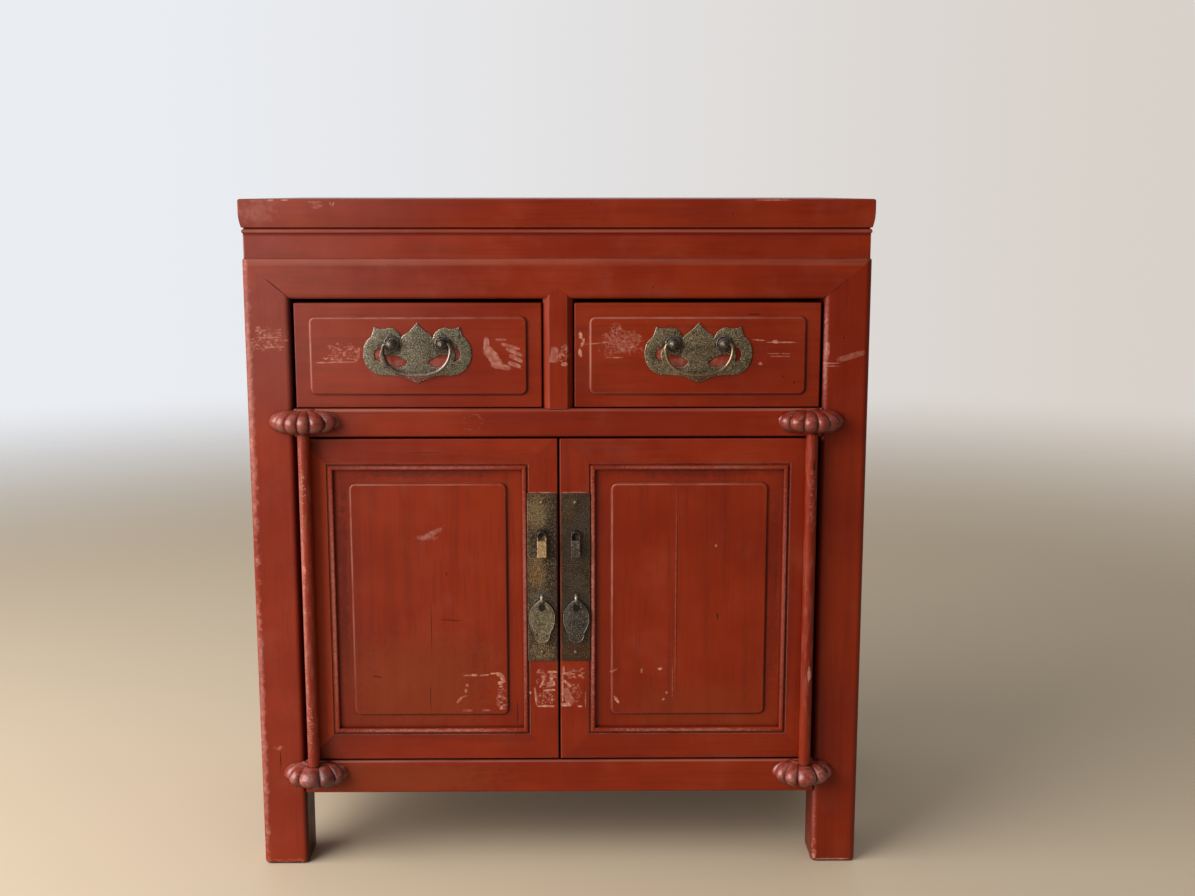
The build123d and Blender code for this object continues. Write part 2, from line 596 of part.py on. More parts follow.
def pendant():
    """Leaf-shaped drop, pierced at the top for its ring."""
    thick = 1.8
    low = PENDANT_Z - 56.0

    def at(x, drop):
        return (PENDANT_X + x, PENDANT_Z - drop)

    outline = [
        Line(at(0, 1.0), at(-8.0, 10.5)),
        ThreePointArc(at(-8.0, 10.5), at(-14.2, 19.0), at(-15.8, 27.0)),
        ThreePointArc(at(-15.8, 27.0), at(-14.0, 35.5), at(-9.6, 43.5)),
        Line(at(-9.6, 43.5), at(-9.4, 48.5)),
        ThreePointArc(at(-9.4, 48.5), (PENDANT_X, low), at(9.4, 48.5)),
        Line(at(9.4, 48.5), at(9.6, 43.5)),
        ThreePointArc(at(9.6, 43.5), at(14.0, 35.5), at(15.8, 27.0)),
        ThreePointArc(at(15.8, 27.0), at(14.2, 19.0), at(8.0, 10.5)),
        Line(at(8.0, 10.5), at(0, 1.0)),
    ]
    y = pendant_y()
    leaf = swept_outline(outline, "Y", y - thick / 2, y + thick / 2)
    hole_drop = 5.0
    hole_radius = 1.95
    return leaf - rod(hole_radius, (PENDANT_X, y - 5, PENDANT_Z - hole_drop),
                      (PENDANT_X, y + 5, PENDANT_Z - hole_drop))


def right_door():
    """Nodes of the right door, by name without the side."""
    stile, lock, top, bottom = split_at_mitres(door_frame_ring())
    bead_inner_z = (PANEL_Z[0] + BEAD_WIDTH, PANEL_Z[1] - BEAD_WIDTH)
    top += door_tenons(bead_inner_z[1] + 8, DOOR_HIGH - 9)
    bottom += door_tenons(DOOR_LOW + 9, bead_inner_z[0] - 8)
    board = door_panel()
    nails = plate_nails()
    plate = face_plate()
    staple = lock_staple()
    eye = pendant_ring()
    fixings = nails + [staple, eye]
    pole = pivot_pole()
    return {
        "pivot_stile": [stile - [top, bottom, board] + pole],
        "lock_stile": [lock - [top, bottom, board] - fixings],
        "top_rail": [top - board - pole],
        "bottom_rail": [bottom - board - pole],
        "panel": [board],
        "face_plate": [plate - fixings],
        "plate_nails": nails,
        "lock_staple": [staple],
        "pendant_eye": [eye],
        "pendant": [pendant()],
    }


# ---- right drawer -------------------------------------------------------------------------
def drawer_front():
    """Drawer front with a raised field."""
    field_margin_x = 18.0
    field_margin_z = 16.4
    y = (DRAWER_MARGIN_FACE, DRAWER_MARGIN_FACE + DRAWER_FRONT_THICK)
    front = block((DRAWER_INNER_X, DRAWER_OUTER_X), y, (DRAWER_LOW, DRAWER_HIGH))
    front = fillet(front.edges().group_by(Axis.Y)[0], 1.5)
    x = (DRAWER_INNER_X + field_margin_x, DRAWER_OUTER_X - field_margin_x)
    z = (DRAWER_LOW + field_margin_z, DRAWER_HIGH - field_margin_z)
    return front + rounded_field(x, z, DRAWER_MARGIN_FACE, DRAWER_FIELD_FACE, 6.5, 2.2)


def drawer_box():
    """Sides, back and bottom of the right drawer."""
    front_back_face = DRAWER_MARGIN_FACE + DRAWER_FRONT_THICK
    y = (front_back_face - 9, DRAWER_BACK)
    side_z = (MIDDLE_RAIL_HIGH + 0.2, DRAWER_HIGH - 7)
    inner_x = (DRAWER_INNER_X + 1, DRAWER_INNER_X + 1 + DRAWER_SIDE_THICK)
    outer_x = (DRAWER_OUTER_X - 1 - DRAWER_SIDE_THICK, DRAWER_OUTER_X - 1)
    sides = [block(inner_x, y, side_z), block(outer_x, y, side_z)]
    between = (inner_x[1] - 5, outer_x[0] + 5)
    back = block(between, (y[1] - DRAWER_SIDE_THICK, y[1]), side_z)
    bottom_thick = 8.0
    bottom_low = DRAWER_LOW + 7
    bottom = block(between, (front_back_face - 6, y[1] - DRAWER_SIDE_THICK / 2),
                   (bottom_low, bottom_low + bottom_thick))
    return sides, back, bottom


def bail_plate():
    """Bat-shaped backplate of a bail, with two openings in each wing."""
    def at(x, z):
        return (BAIL_PLATE_X + x, BAIL_PLATE_Z + z)

    def wing(side):
        return [
            ThreePointArc(at(0, 36.5), at(side * 7.5, 28.0), at(side * 16.3, 21.5)),
            Line(at(side * 16.3, 21.5), at(side * 18.6, 17.5)),
            ThreePointArc(at(side * 18.6, 17.5), at(side * 23.5, 26.5), at(side * 33.0, 30.5)),
            ThreePointArc(at(side * 33.0, 30.5), at(side * 42.5, 29.0), at(side * 50.2, 31.5)),
            ThreePointArc(at(side * 50.2, 31.5), at(side * 52.0, 25.0), at(side * 54.2, 19.5)),
            ThreePointArc(at(side * 54.2, 19.5), at(side * 61.0, 12.0), at(side * 63.6, 1.0)),
            ThreePointArc(at(side * 63.6, 1.0), at(side * 57.0, -18.5), at(side * 41.0, -26.2)),
            ThreePointArc(at(side * 41.0, -26.2), at(side * 30.0, -26.0), at(side * 20.0, -27.2)),
            ThreePointArc(at(side * 20.0, -27.2), at(side * 9.0, -31.4), at(0, -35.5)),
        ]

    def crescent(side):
        return [
            ThreePointArc(at(side * 42.2, -10.0), at(side * 51.0, -0.5), at(side * 41.0, 7.0)),
            ThreePointArc(at(side * 41.0, 7.0), at(side * 44.4, -1.5), at(side * 42.2, -10.0)),
        ]

    def leaf(side):
        return [
            ThreePointArc(at(side * 38.0, -2.2), at(side * 22.0, -3.6), at(side * 11.7, -11.0)),
            ThreePointArc(at(side * 11.7, -11.0), at(side * 20.0, -16.4), at(side * 30.5, -14.6)),
            ThreePointArc(at(side * 30.5, -14.6), at(side * 36.2, -9.4), at(side * 38.0, -2.2)),
        ]

    y = (BAIL_PLATE_FACE, DRAWER_FIELD_FACE)
    plate = swept_outline(wing(1) + wing(-1), "Y", *y)
    for side in (-1, 1):
        plate -= swept_outline(crescent(side), "Y", y[0] - 1, y[1] + 1)
        plate -= swept_outline(leaf(side), "Y", y[0] - 1, y[1] + 1)
    return plate


def bail_post(x):
    """Domed post with a cross hole for the bail and a shank through the drawer front."""
    y = BAIL_AXIS_Y
    rosette = Pos(x, BAIL_PLATE_FACE - 1.0, BAIL_AXIS_Z) * Rot(90, 0, 0) * Cone(8.5, 6.0, 2.0)
    neck = rod(3.6, (x, BAIL_PLATE_FACE, BAIL_AXIS_Z), (x, y, BAIL_AXIS_Z))
    head = Pos(x, y, BAIL_AXIS_Z) * Sphere(5.6)
    back = DRAWER_MARGIN_FACE + DRAWER_FRONT_THICK
    shank = rod(2.2, (x, BAIL_PLATE_FACE, BAIL_AXIS_Z), (x, back + 2, BAIL_AXIS_Z))
    nut = rod(5.0, (x, back, BAIL_AXIS_Z), (x, back + 2, BAIL_AXIS_Z))
    cross_hole = rod(BAIL_WIRE_RADIUS + PIVOT_PLAY, (x - 9, y, BAIL_AXIS_Z), (x + 9, y, BAIL_AXIS_Z))
    return rosette + neck + head + shank + nut - cross_hole


def bail():
    """Bent wire handle, hanging, with both ends turned in through the posts."""
    half_post = BAIL_POST_SPAN / 2
    end = half_post - 5.5
    points = [
        (end, 0), (BAIL_HALF_WIDTH, 0), (BAIL_HALF_WIDTH - 2, -BAIL_DROP * 0.55),
        (BAIL_HALF_WIDTH * 0.62, -BAIL_DROP), (-BAIL_HALF_WIDTH * 0.62, -BAIL_DROP),
        (-BAIL_HALF_WIDTH + 2, -BAIL_DROP * 0.55), (-BAIL_HALF_WIDTH, 0), (-end, 0),
    ]
    corner_radii = [2.6, 14.0, 26.0, 26.0, 14.0, 2.6]
    path = FilletPolyline(*points, radius=corner_radii)
    path = Plane((BAIL_PLATE_X, BAIL_AXIS_Y, BAIL_AXIS_Z), x_dir=(1, 0, 0), z_dir=(0, -1, 0)) * path
    section = Plane(path @ 0, z_dir=path % 0) * Circle(BAIL_WIRE_RADIUS)
    return sweep(section, path)


def bail_plate_nails():
    """Two small nails of the bail plate, inside the posts."""
    return [domed_nail(BAIL_PLATE_X + side * 18.5, BAIL_PLATE_FACE, BAIL_PLATE_Z + 9.5, 1.7, 1.0, 8.0)
            for side in (-1, 1)]


def right_drawer():
    """Nodes of the right drawer, by name without the side."""
    front = drawer_front()
    sides, back, bottom = drawer_box()
    posts = [bail_post(BAIL_PLATE_X + side * BAIL_POST_SPAN / 2) for side in (-1, 1)]
    nails = bail_plate_nails()
    sides = [side - [back, bottom] for side in sides]
    return {
        "drawer_front": [front - sides - bottom - posts - nails],
        "drawer_sides": sides,
        "drawer_back": [back - bottom],
        "drawer_bottom": [bottom],
        "bail_plate": [bail_plate() - posts - nails],
        "bail_plate_nails": nails,
        "bail_posts": posts,
        "bail": [bail()],
    }


# ---- whole cabinet ------------------------------------------------------------------------
def carcass():
    """Nodes of the fixed case."""
    divider = drawer_divider()
    front_top = front_top_rail() - divider
    middle = plain_front_rail(MIDDLE_RAIL_LOW, MIDDLE_RAIL_HIGH)
    bottom = plain_front_rail(BOTTOM_RAIL_LOW, BOTTOM_RAIL_HIGH)
    sides = [side_rail(TOP_RAIL_LOW, CASE_TOP, True),
             side_rail(BOTTOM_RAIL_LOW, BOTTOM_RAIL_HIGH, False)]
    sides += [mirrored(rail) for rail in sides]
    backs = [back_top_rail(), flipped_to_back(middle), flipped_to_back(bottom)]
    right_panel = side_panel()
    left_panel = mirrored(right_panel)
    rear_panels = back_panels()
    framing = [front_top, middle, bottom, right_panel, left_panel] + sides + backs + rear_panels
    blanks = {"front_right_leg": leg_blank()}
    blanks["front_left_leg"] = mirrored(blanks["front_right_leg"])
    blanks["back_right_leg"] = flipped_to_back(blanks["front_right_leg"])
    blanks["back_left_leg"] = mirrored(blanks["back_right_leg"])
    floor = cabinet_floor() - list(blanks.values())
    runners = drawer_runners()
    panel = top_panel()
    battens = top_battens()
    leg_list = list(blanks.values())
    upper = upper_boss()
    lower = lower_boss()
    nodes = {}
    for place in ("front", "back"):
        right_leg = blanks[f"{place}_right_leg"] - framing
        nodes[f"{place}_right_leg"] = [right_leg]
        nodes[f"{place}_left_leg"] = [mirrored(right_leg)]
    nodes.update({
        "top_frame": [member - [panel] - battens - leg_list for member in top_frame()],
        "top_panel": [panel],
        "top_battens": battens,
        "waist_frieze": waist_frieze(),
        "front_top_rail": [front_top],
        "drawer_divider": [divider],
        "middle_rail": [middle - [divider] - runners],
        "bottom_rail": [bottom - floor],
        "side_rails": [rail - [floor, right_panel, left_panel] for rail in sides],
        "back_rails": [rail - [floor] - rear_panels - runners for rail in backs],
        "left_side_panel": [left_panel],
        "right_side_panel": [right_panel],
        "back_panels": rear_panels,
        "cabinet_floor": [floor],
        "drawer_runners": runners,
        "door_stops": door_stops(),
        "upper_right_boss": [upper],
        "lower_right_boss": [lower],
        "upper_left_boss": [mirrored(upper)],
        "lower_left_boss": [mirrored(lower)],
    })
    return nodes


def main():
    """Write every node."""
    os.makedirs("parts", exist_ok=True)
    nodes = carcass()
    for name, pieces in {**right_door(), **right_drawer()}.items():
        nodes[f"right_{name}"] = pieces
        nodes[f"left_{name}"] = [mirrored(piece) for piece in pieces]
    for name, pieces in nodes.items():
        save(name, *pieces)


main()
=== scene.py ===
import json
from math import cos, pi, radians, sin, sqrt, tau

import bmesh
import bpy
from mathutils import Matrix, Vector


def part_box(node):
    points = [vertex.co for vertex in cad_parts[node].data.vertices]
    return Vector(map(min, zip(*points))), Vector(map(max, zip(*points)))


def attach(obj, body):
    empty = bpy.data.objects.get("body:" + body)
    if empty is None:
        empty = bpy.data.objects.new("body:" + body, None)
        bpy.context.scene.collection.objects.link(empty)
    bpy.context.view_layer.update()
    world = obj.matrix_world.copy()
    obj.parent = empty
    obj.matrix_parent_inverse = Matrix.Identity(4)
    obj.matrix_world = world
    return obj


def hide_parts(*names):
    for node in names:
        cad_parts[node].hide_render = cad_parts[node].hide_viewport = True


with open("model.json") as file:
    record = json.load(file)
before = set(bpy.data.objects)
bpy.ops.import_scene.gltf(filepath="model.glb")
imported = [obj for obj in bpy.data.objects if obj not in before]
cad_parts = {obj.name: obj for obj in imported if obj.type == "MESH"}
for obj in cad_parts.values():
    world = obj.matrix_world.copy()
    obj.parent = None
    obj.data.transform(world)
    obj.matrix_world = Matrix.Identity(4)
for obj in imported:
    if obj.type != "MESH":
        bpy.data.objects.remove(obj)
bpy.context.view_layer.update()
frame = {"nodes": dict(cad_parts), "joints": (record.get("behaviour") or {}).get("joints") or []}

NODES = frame["nodes"]
MM = 0.001

# ---- driving places, in millimetres ----
FRONT = -183.0                  # front face of the legs
TOP_HALF = (370.5, 200.0)       # half sizes of the top frame
TOP_LOW = 780.0                 # underside of the top frame
CASE_TOP = 751.5                # top of the legs
POLE_FRONT = 3.0                # what stands this far in front of the legs is a pole
BAIL_SPAN = 60.0                # between the posts of a bail
PENDANT_HOLE_DROP = 5.0         # below the axis that the pendant swings about
SIDES = {"left": -1, "right": 1}

# ---- camera ----
PHOTO_WIDTH = 1195.0
FOCAL_PIXELS = 1500.0
SENSOR = 36.0
CAMERA_PLACE = (28.4, -1947.8, 828.0)
CAMERA_PITCH = -9.69
CAMERA_YAW = -0.59
LIGHT_PLACE = (-2.0, -1.3, 1.3)     # metres
LIGHT_TARGET = (0, -0.15, 0.42)
LIGHT_SIZE = (2.6, 1.9)
LIGHT_POWER = 112


def paint(red, green, blue):
    """Linear colour from 0-255 display values."""
    def linear(value):
        share = value / 255
        return share / 12.92 if share <= 0.04045 else ((share + 0.055) / 1.055) ** 2.4
    return (linear(red), linear(green), linear(blue), 1.0)


def mm(*values):
    """A point given in millimetres, in metres."""
    return Vector(values) * MM


# ---- node graphs ----
class Graph:
    """A node tree, with short calls for what every finish repeats."""

    def __init__(self, owner, coordinate):
        owner.use_nodes = True
        self.owner = owner
        self.tree = owner.node_tree
        self.tree.nodes.clear()
        coordinates = self.add("TexCoord")
        self.place = coordinates.outputs[coordinate]
        self.facing = coordinates.outputs["Normal"]
        self.shared = {}

    def add(self, kind, **settings):
        node = self.tree.nodes.new("ShaderNode" + kind)
        for key, value in settings.items():
            setattr(node, key, value)
        return node

    def fill(self, kind, settings=None, **values):
        """A new node with the named inputs set or linked."""
        node = self.add(kind, **(settings or {}))
        for name, value in values.items():
            self.put(node.inputs[name], value)
        return node

    def put(self, socket, value):
        if isinstance(value, bpy.types.NodeSocket):
            self.tree.links.new(value, socket)
        else:
            socket.default_value = value

    def once(self, key, make):
        """What make returns, built only the first time that key is asked for."""
        if key not in self.shared:
            self.shared[key] = make()
        return self.shared[key]

    def math(self, operation, *values):
        node = self.add("Math", operation=operation)
        for socket, value in zip(node.inputs, values):
            self.put(socket, value)
        return node.outputs[0]

    def times(self, first, second):
        return self.math("MULTIPLY", first, second)

    def minus(self, first, second):
        return self.math("SUBTRACT", first, second)

    def larger(self, first, second):
        return self.math("MAXIMUM", first, second)

    def size(self, value):
        return self.math("ABSOLUTE", value)

    def scaled_sum(self, value, factor, addend):
        return self.math("MULTIPLY_ADD", value, factor, addend)

    def length(self, vector):
        node = self.add("VectorMath", operation="LENGTH")
        self.put(node.inputs[0], vector)
        return node.outputs["Value"]

    def axis(self, vector, name):
        node = self.add("SeparateXYZ")
        self.put(node.inputs[0], vector)
        return node.outputs[name]

    def ramp(self, value, low, high, to_low=0.0, to_high=1.0):
        """value from low to high, smoothly turned into to_low to to_high."""
        node = self.add("MapRange", interpolation_type="SMOOTHSTEP")
        for socket, number in zip(node.inputs, (value, low, high, to_low, to_high)):
            self.put(socket, number)
        return node.outputs["Result"]

    def scaled(self, vector, scale, location=(0, 0, 0)):
        return self.fill("Mapping", Vector=vector, Scale=scale, Location=location).outputs[0]

    def local(self, centre, half, turn=0.0):
        """Place relative to centre, in units of the half sizes, after a turn about Y."""
        return self.fill("Mapping", {"vector_type": "TEXTURE"}, Vector=self.place,
                         Location=centre, Rotation=(0, radians(turn), 0), Scale=half).outputs[0]

    def spot(self, x, z, half_x, half_z, turn=0.0):
        """Place relative to a spot on the front, all in millimetres."""
        return self.local(mm(x, FRONT, z), (half_x * MM, 1.0, half_z * MM), turn)

    def noise(self, vector, scale, detail=3.0, roughness=0.55):
        return self.fill("TexNoise", Vector=vector, Scale=scale, Detail=detail,
                         Roughness=roughness).outputs["Fac"]

    def cells(self, vector, scale, feature="F1"):
        node = self.fill("TexVoronoi", {"feature": feature}, Vector=vector, Scale=scale)
        return node.outputs["Distance"]

    def blend(self, kind, factor, first, second):
        """Mix of two values; numbers, vectors and colours have sockets of their own."""
        at = {"FLOAT": 2, "VECTOR": 4, "RGBA": 6}[kind]
        node = self.add("Mix", data_type=kind)
        for index, value in zip((0, at, at + 1), (factor, first, second)):
            self.put(node.inputs[index], value)
        return node.outputs[at // 2 - 1]

    def mix(self, factor, first, second):
        return self.blend("RGBA", factor, first, second)

    def mix_number(self, factor, first, second):
        return self.blend("FLOAT", factor, first, second)

    def soft_normal(self, radius, level_mitres=False):
        """Normal rounded off near edges, and a mask of those edges.

        With level_mitres, joints that cross the frame at a slant stay closed and flat.
        """
        node = self.fill("Bevel", {"samples": 4}, Radius=radius)
        across = self.add("VectorMath", operation="DOT_PRODUCT")
        self.put(across.inputs[0], node.outputs["Normal"])
        flat = self.add("NewGeometry").outputs["Normal"]
        self.put(across.inputs[1], flat)
        mask = self.ramp(across.outputs["Value"], 0.995, 0.86)
        normal = node.outputs["Normal"]
        if level_mitres:
            slant = self.times(self.axis(normal, "X"), self.axis(normal, "Z"))
            slant = self.ramp(self.size(slant), 0.001, 0.005)
            mask = self.times(mask, self.minus(1.0, slant))
            normal = self.blend("VECTOR", slant, normal, flat)
        return normal, mask

    def crevice(self, distance):
        """1 in the open, towards 0 in a narrow recess."""
        return self.fill("AmbientOcclusion", {"samples": 6}, Distance=distance).outputs["AO"]

    def bump(self, height, depth, normal=None):
        below = {} if normal is None else {"Normal": normal}
        return self.fill("Bump", Distance=depth, Height=height, **below).outputs["Normal"]


class Finish(Graph):
    """A material with one principled shader."""

    def __init__(self, name):
        super().__init__(bpy.data.materials.new(name), "Object")
        self.shader = self.add("BsdfPrincipled")
        self.output = self.add("OutputMaterial")
        self.put(self.output.inputs["Surface"], self.shader.outputs["BSDF"])

    def facing_front(self):
        """1 on what faces the front, 0 on the sides and the back."""
        return self.once("front", lambda: self.ramp(
            self.axis(self.facing, "Y"), -0.25, -0.6))

    def close(self, colour, roughness, normal, metal=0.0, shine=0.5):
        names = ("Base Color", "Roughness", "Normal", "Metallic", "Specular IOR Level")
        for name, value in zip(names, (colour, roughness, normal, metal, shine)):
            self.put(self.shader.inputs[name], value)
        return self.owner


# ---- wear marks on the lacquer, with painted highlights and painted shade ----
# Each mark: kind, centre x and z, half width and half height in mm, strength, and its turn in
# degrees if it has one. The kinds are in MARK_KINDS.
MARKS = {
    "front_left_leg": """
        grit -342 655 22 13 .7 -8, grit -346 668 15 4 .7 4, line -334 648 14 .9 .9,
        line -341 659 17 .9 .8, film -366 533 2.2 6.6 .6 12, grit -347 152 6.5 3 .8 -8,
        grit -341 4 27 4 .55, film -364 743 3 6 .5 24, haze -364.5 560 5 190 .45,
        haze -364.5 190 4.5 190 .5""",
    "front_right_leg": """
        film 318.6 643 2.8 11 .8 4, line 323 628 11 1.1 .9, line 323 624.5 11 .8 .7,
        film 346 636 18 4 .5 -16, bright 341 3.4 23 1.3 .9, grit 317.5 16 3.6 14 .9,
        chip 317.6 7 2.4 4 .9, haze 316.5 640 2.8 62 .5, haze 316.2 62 2.2 60 .3""",
    "drawer_divider": """
        film -4.6 638 5.6 10.5 .75 8, grit 8 640 6.5 10.5 1, chip 7.5 627 4.4 2.6 .7""",
    "left_drawer_front": """
        line -276 629.3 12 1 1, grit -262 634 19 4.6 1, grit -256 646 15 6.5 .7,
        grit -244.5 641 11 11 1, film -235.5 640 1.9 8.5 .7 8, line -255 630 16 1.3 .9,
        film -84.5 648 3.6 12.5 .95, film -77 635.5 7 15.5 .95 -36, film -80.5 641 4 6.5 .7,
        film -68 624.5 13 3.4 .85 10, film -67.3 656 7 1.7 .75 2, film -56.5 648.2 12.5 2.4 .85 16,
        film -52.5 641.6 12 2.4 .85 24, film -49.5 634 10 2.8 .9 26,
        film -51.5 626.4 9.5 2.8 .85 20, haze -192 629 15 7 .35, haze -142 629 15 7 .35,
        haze -213 639 7 11 .3, haze -119 637 8 11 .3""",
    "right_drawer_front": """
        chip 26.5 661 2.4 4.5 .9 -15, chip 29 652 1.9 6 .9 20, chip 26.3 640 2.3 5 .9 -10,
        net 74 655 27 15 .4, grit 76 655 26 13 .5, grit 83 646 20 8 .45, line 48 652 22 .8 .8 -6,
        line 66.2 634.9 12 .9 .9, line 69.6 665 .7 6 .7, line 237.6 655.4 9 .9 .9 4,
        line 264 652.8 19 1 .95, chip 256.5 653.6 4.4 2.2 .9, line 261 639.4 15 .8 .8,
        line 262 636.2 14 .7 .7, chip 239.2 627.6 2.3 1.8 .8, haze 142 629 15 7 .35,
        haze 192 629 15 7 .3, haze 119 638 8 11 .35, net 68 671 7 5 .4, grit 62 642 15 5 .4""",
    "left_panel": """
        bright -111 243.7 7.5 1.1 .7, bright -104.5 244 4.2 1.7 .9,
        bright -92.5 243.9 6.2 1.2 .8 -4, bright -80 246.2 5.5 1.2 .9 -6,
        bright -73.6 244.4 4.4 2.8 1 30, bright -69.8 239.4 2.8 5.6 1 -15,
        bright -72.6 233.8 3.4 2.4 .9, chip -72 229.3 3 1.4 .8, grit -71.5 212 7 17 .9,
        chip -73.8 216.8 2 2 .9, chip -71.8 202 2 2.4 .9, chip -113.3 231 1.8 2.2 .7,
        chip -114.8 224 2.2 2.5 .9, bright -123 212.6 1.7 5.6 .9 42, film -116.5 217 4 1.3 .8 -15,
        film -113 198.8 7.5 1.6 .6, film -90.6 198.9 6.5 1.6 .6, haze -153 422 15 3.6 .5 -26,
        haze -160 417 14 3.2 .38, shade -261 338 7 152 .5, shade -157 496 106 7 .45,
        brown -175 235 120 75 .5""",
    "right_panel": """
        chip 70 212 5.2 2.2 .9 55, chip 100.5 249 1.5 3.2 .6, chip 123 251.5 3 1.8 .7,
        chip 131.5 221 1.4 1.6 .7, chip 127.5 212.5 2.4 1.4 .7, chip 190 406 1.6 1.8 .5,
        chip 66 249 5 1.3 .5 -25, line 141.5 350 .6 142 .4, line 138.5 234 .7 22 .5,
        shade 157 496 106 7 .4, shade 261 338 7 152 .35, brown 170 200 120 40 .3""",
    # Each lock stile's last mark is a pale line along the top of its face plate: worn lacquer with
    # a painted highlight.
    "left_lock_stile": """
        bright -12.5 225 8.5 1.5 1 -2, bright -17 204.5 12.5 1.4 .9, bright -29.3 217 1.4 13 .8 -6,
        flake -17 214.5 12 9 1, bright -21.8 233.1 1.3 5.8 .9 25, bright -8.6 248.3 6 1.6 .9,
        bright -10 241.5 2.3 6 .9, bright -10.6 232.8 5.4 3.6 1 -14, line -25.6 247.6 3.4 1 .8,
        chip -37 221.9 2.4 1.6 .9, grit -17 238 14 13 .9, line -20.3 472.3 18 1 1""",
    "right_lock_stile": """
        bright 5 251 1.7 5.4 .9, bright 9.8 246.2 6.5 1.6 .8 -2, grit 17 247 11 7.5 1,
        grit 26.5 247 5.5 7.5 .9, bright 9.6 233.5 1.7 7 .8 -48, film 10.5 215 4.8 13 .8 -14,
        grit 16 222 10 15 .6, bright 7.1 206.3 6.2 2.6 .95, bright 3.7 228 1.3 20 .8,
        chip 25 204 3.2 1.2 .8, line 31.8 212 .8 12 .8, line 20.3 472.3 18 1 1""",
    "middle_rail": "ring -102.3 557.6 13.5 12 .4",
    "right_pivot_stile": "chip 303 251 2.6 9.5 .9, grit 303 470 5 40 .5",
    "left_pivot_stile": """
        haze -306.5 340 3.6 205 .55, chip -304 382 2.4 5 .5, grit -304 478 5 24 .8,
        grit -304 190 5 30 .7""",
    "lower_right_boss": "grit 318 124 17 7 .8, grit 288 117 16 9 .5",
    "lower_left_boss": "grit -312 122 16 9 .55, shade -284 122 26 20 .7",
    "bottom_rail": "brown -190 112 150 24 .5",
    "upper_left_boss": "grit -322 566 17 6 .55 -16",
    "upper_right_boss": "grit 288 566 20 6 .45 -10",
    "top_frame": """
        chip -332 818.4 3.2 1.5 .8, chip -316 818.8 4.2 1 .6, line -281 816.4 8.5 1.4 .7,
        grit -279 812.4 8.4 4.2 .5, line -259.6 814 1 3 .8 20, line -263 814.5 .8 2.4 .6 -20,
        haze -348 805 26 17 .2, chip 250 818.6 20 1 .4""",
}
# The bead round a door panel is paler, a painted highlight: middle x and z, half width and half
# height in mm, and the strength on the left door and on the right one.
BEADS = {"lock_stile": (41.2, 338, 2.3, 166, 0.45, 0.6),
         "pivot_stile": (273.2, 338, 2.3, 166, 0.62, 0.35),
         "top_rail": (157.2, 502.8, 114, 2.0, 0.35, 0.3),
         "bottom_rail": (157.2, 173.8, 114, 2.3, 0.6, 0.5)}
# Each crack: centre x and z, half width and half height in mm, turn in degrees if it has one.
CRACKS = {
    "front_left_leg": "-344.4 137 .8 14, -337 120 1.6 1.8, -330.6 718.7 .9 20 -50",
    "front_right_leg": "338 658 1.4 1.4",
    "left_panel": """
        -155.6 300 .45 44, -158.2 215 .45 26, -51.5 194 1 17, -131 313.6 15 .8 4, -222 242 8 .8 8,
        -136 372 1 4""",
    "right_panel": "143.6 350 .5 142, 193 318 1.3 6.5 -8",
    "right_pivot_stile": "303.5 506 1.6 9.5",
    "right_drawer_front": "231.3 685.5 11 1, 267.4 612.2 1.3 1.3, 280.4 605.1 1.6 1.6",
    "top_frame": "205 803 .6 4.5, 40 814 1 1, 45 813 .8 .9",
    "front_top_rail": "112 718 1.4 1.4, -330.6 718.7 .9 20 -50, 330.6 718.7 .5 22 50",
    "left_top_rail": "-160 521 30 .35",
}
# Heights in mm where two mouldings meet and painted shade lies along the joint, and half the width
# of the line.
SEAMS = {"top_frame": [(TOP_LOW + 6.6, 1.5), (TOP_LOW, 0.9)],
         "waist_frieze": [(TOP_LOW - 0.6, 2.6)]}
# Level bands of worn, paler lacquer with a painted highlight: height, half width, strength.
BANDS = {"top_frame": (TOP_LOW + 3.2, 2.2, 0.28), "front_top_rail": (CASE_TOP - 4.0, 6.0, 0.24),
         "middle_rail": (572.5, 2.4, 0.45), "bottom_rail": (134.2, 2.2, 0.45)}
# Raised fields: middle x and z, half width and half height, in mm.
DRAWER_FIELD = (165.1, 637.1, 127.9, 45.8)
DOOR_FIELD = (157.3, 338.3, 94.2, 144.7)
FIELD_CORNER = 7.0

# kind: fray of the outline, square corners or not, pattern inside, tone
MARK_KINDS = {
    "grit": (0.9, False, "grit", "rubbed"),
    "chip": (0.7, False, "solid", "bare"),
    "line": (0.4, False, "dashes", "rubbed"),
    "film": (0.30, True, "solid", "film"),
    "flake": (0.20, True, "flakes", "rubbed"),
    "net": (0.6, False, "net", "rubbed"),
    "ring": (0.25, False, "grit", "film"),
    "bright": (0.35, True, "solid", "bare"),
    # Pale bands: partly worn lacquer, partly a painted highlight along lit arrises, beads and the
    # pole.
    "haze": (1.1, True, "solid", "pale"),
    # Painted shade, such as the shadow of the frame at the top and left of a door panel.
    "shade": (1.0, True, "solid", "painted_shade"),
    "brown": (0.8, True, "solid", "brown"),
}
SOFT_MARKS = ("haze", "shade", "brown")


def text_rows(table, key):
    """The rows of words that a table of short text rows has for a key."""
    return [row.split() for row in table.get(key, "").split(",") if row]


def marks_on(node):
    """The marks of a node (wear, painted shade and painted highlights), then the painted highlight
    on its stretch of bead.
    """
    marks = [(kind, *map(float, numbers)) for kind, *numbers in text_rows(MARKS, node)]
    side, _, part = node.partition("_")
    if side in SIDES and part in BEADS:
        x, z, half_x, half_z, left, right = BEADS[part]
        strength = left if side == "left" else right
        marks.append(("haze", SIDES[side] * x, z, half_x, half_z, strength))
    return marks


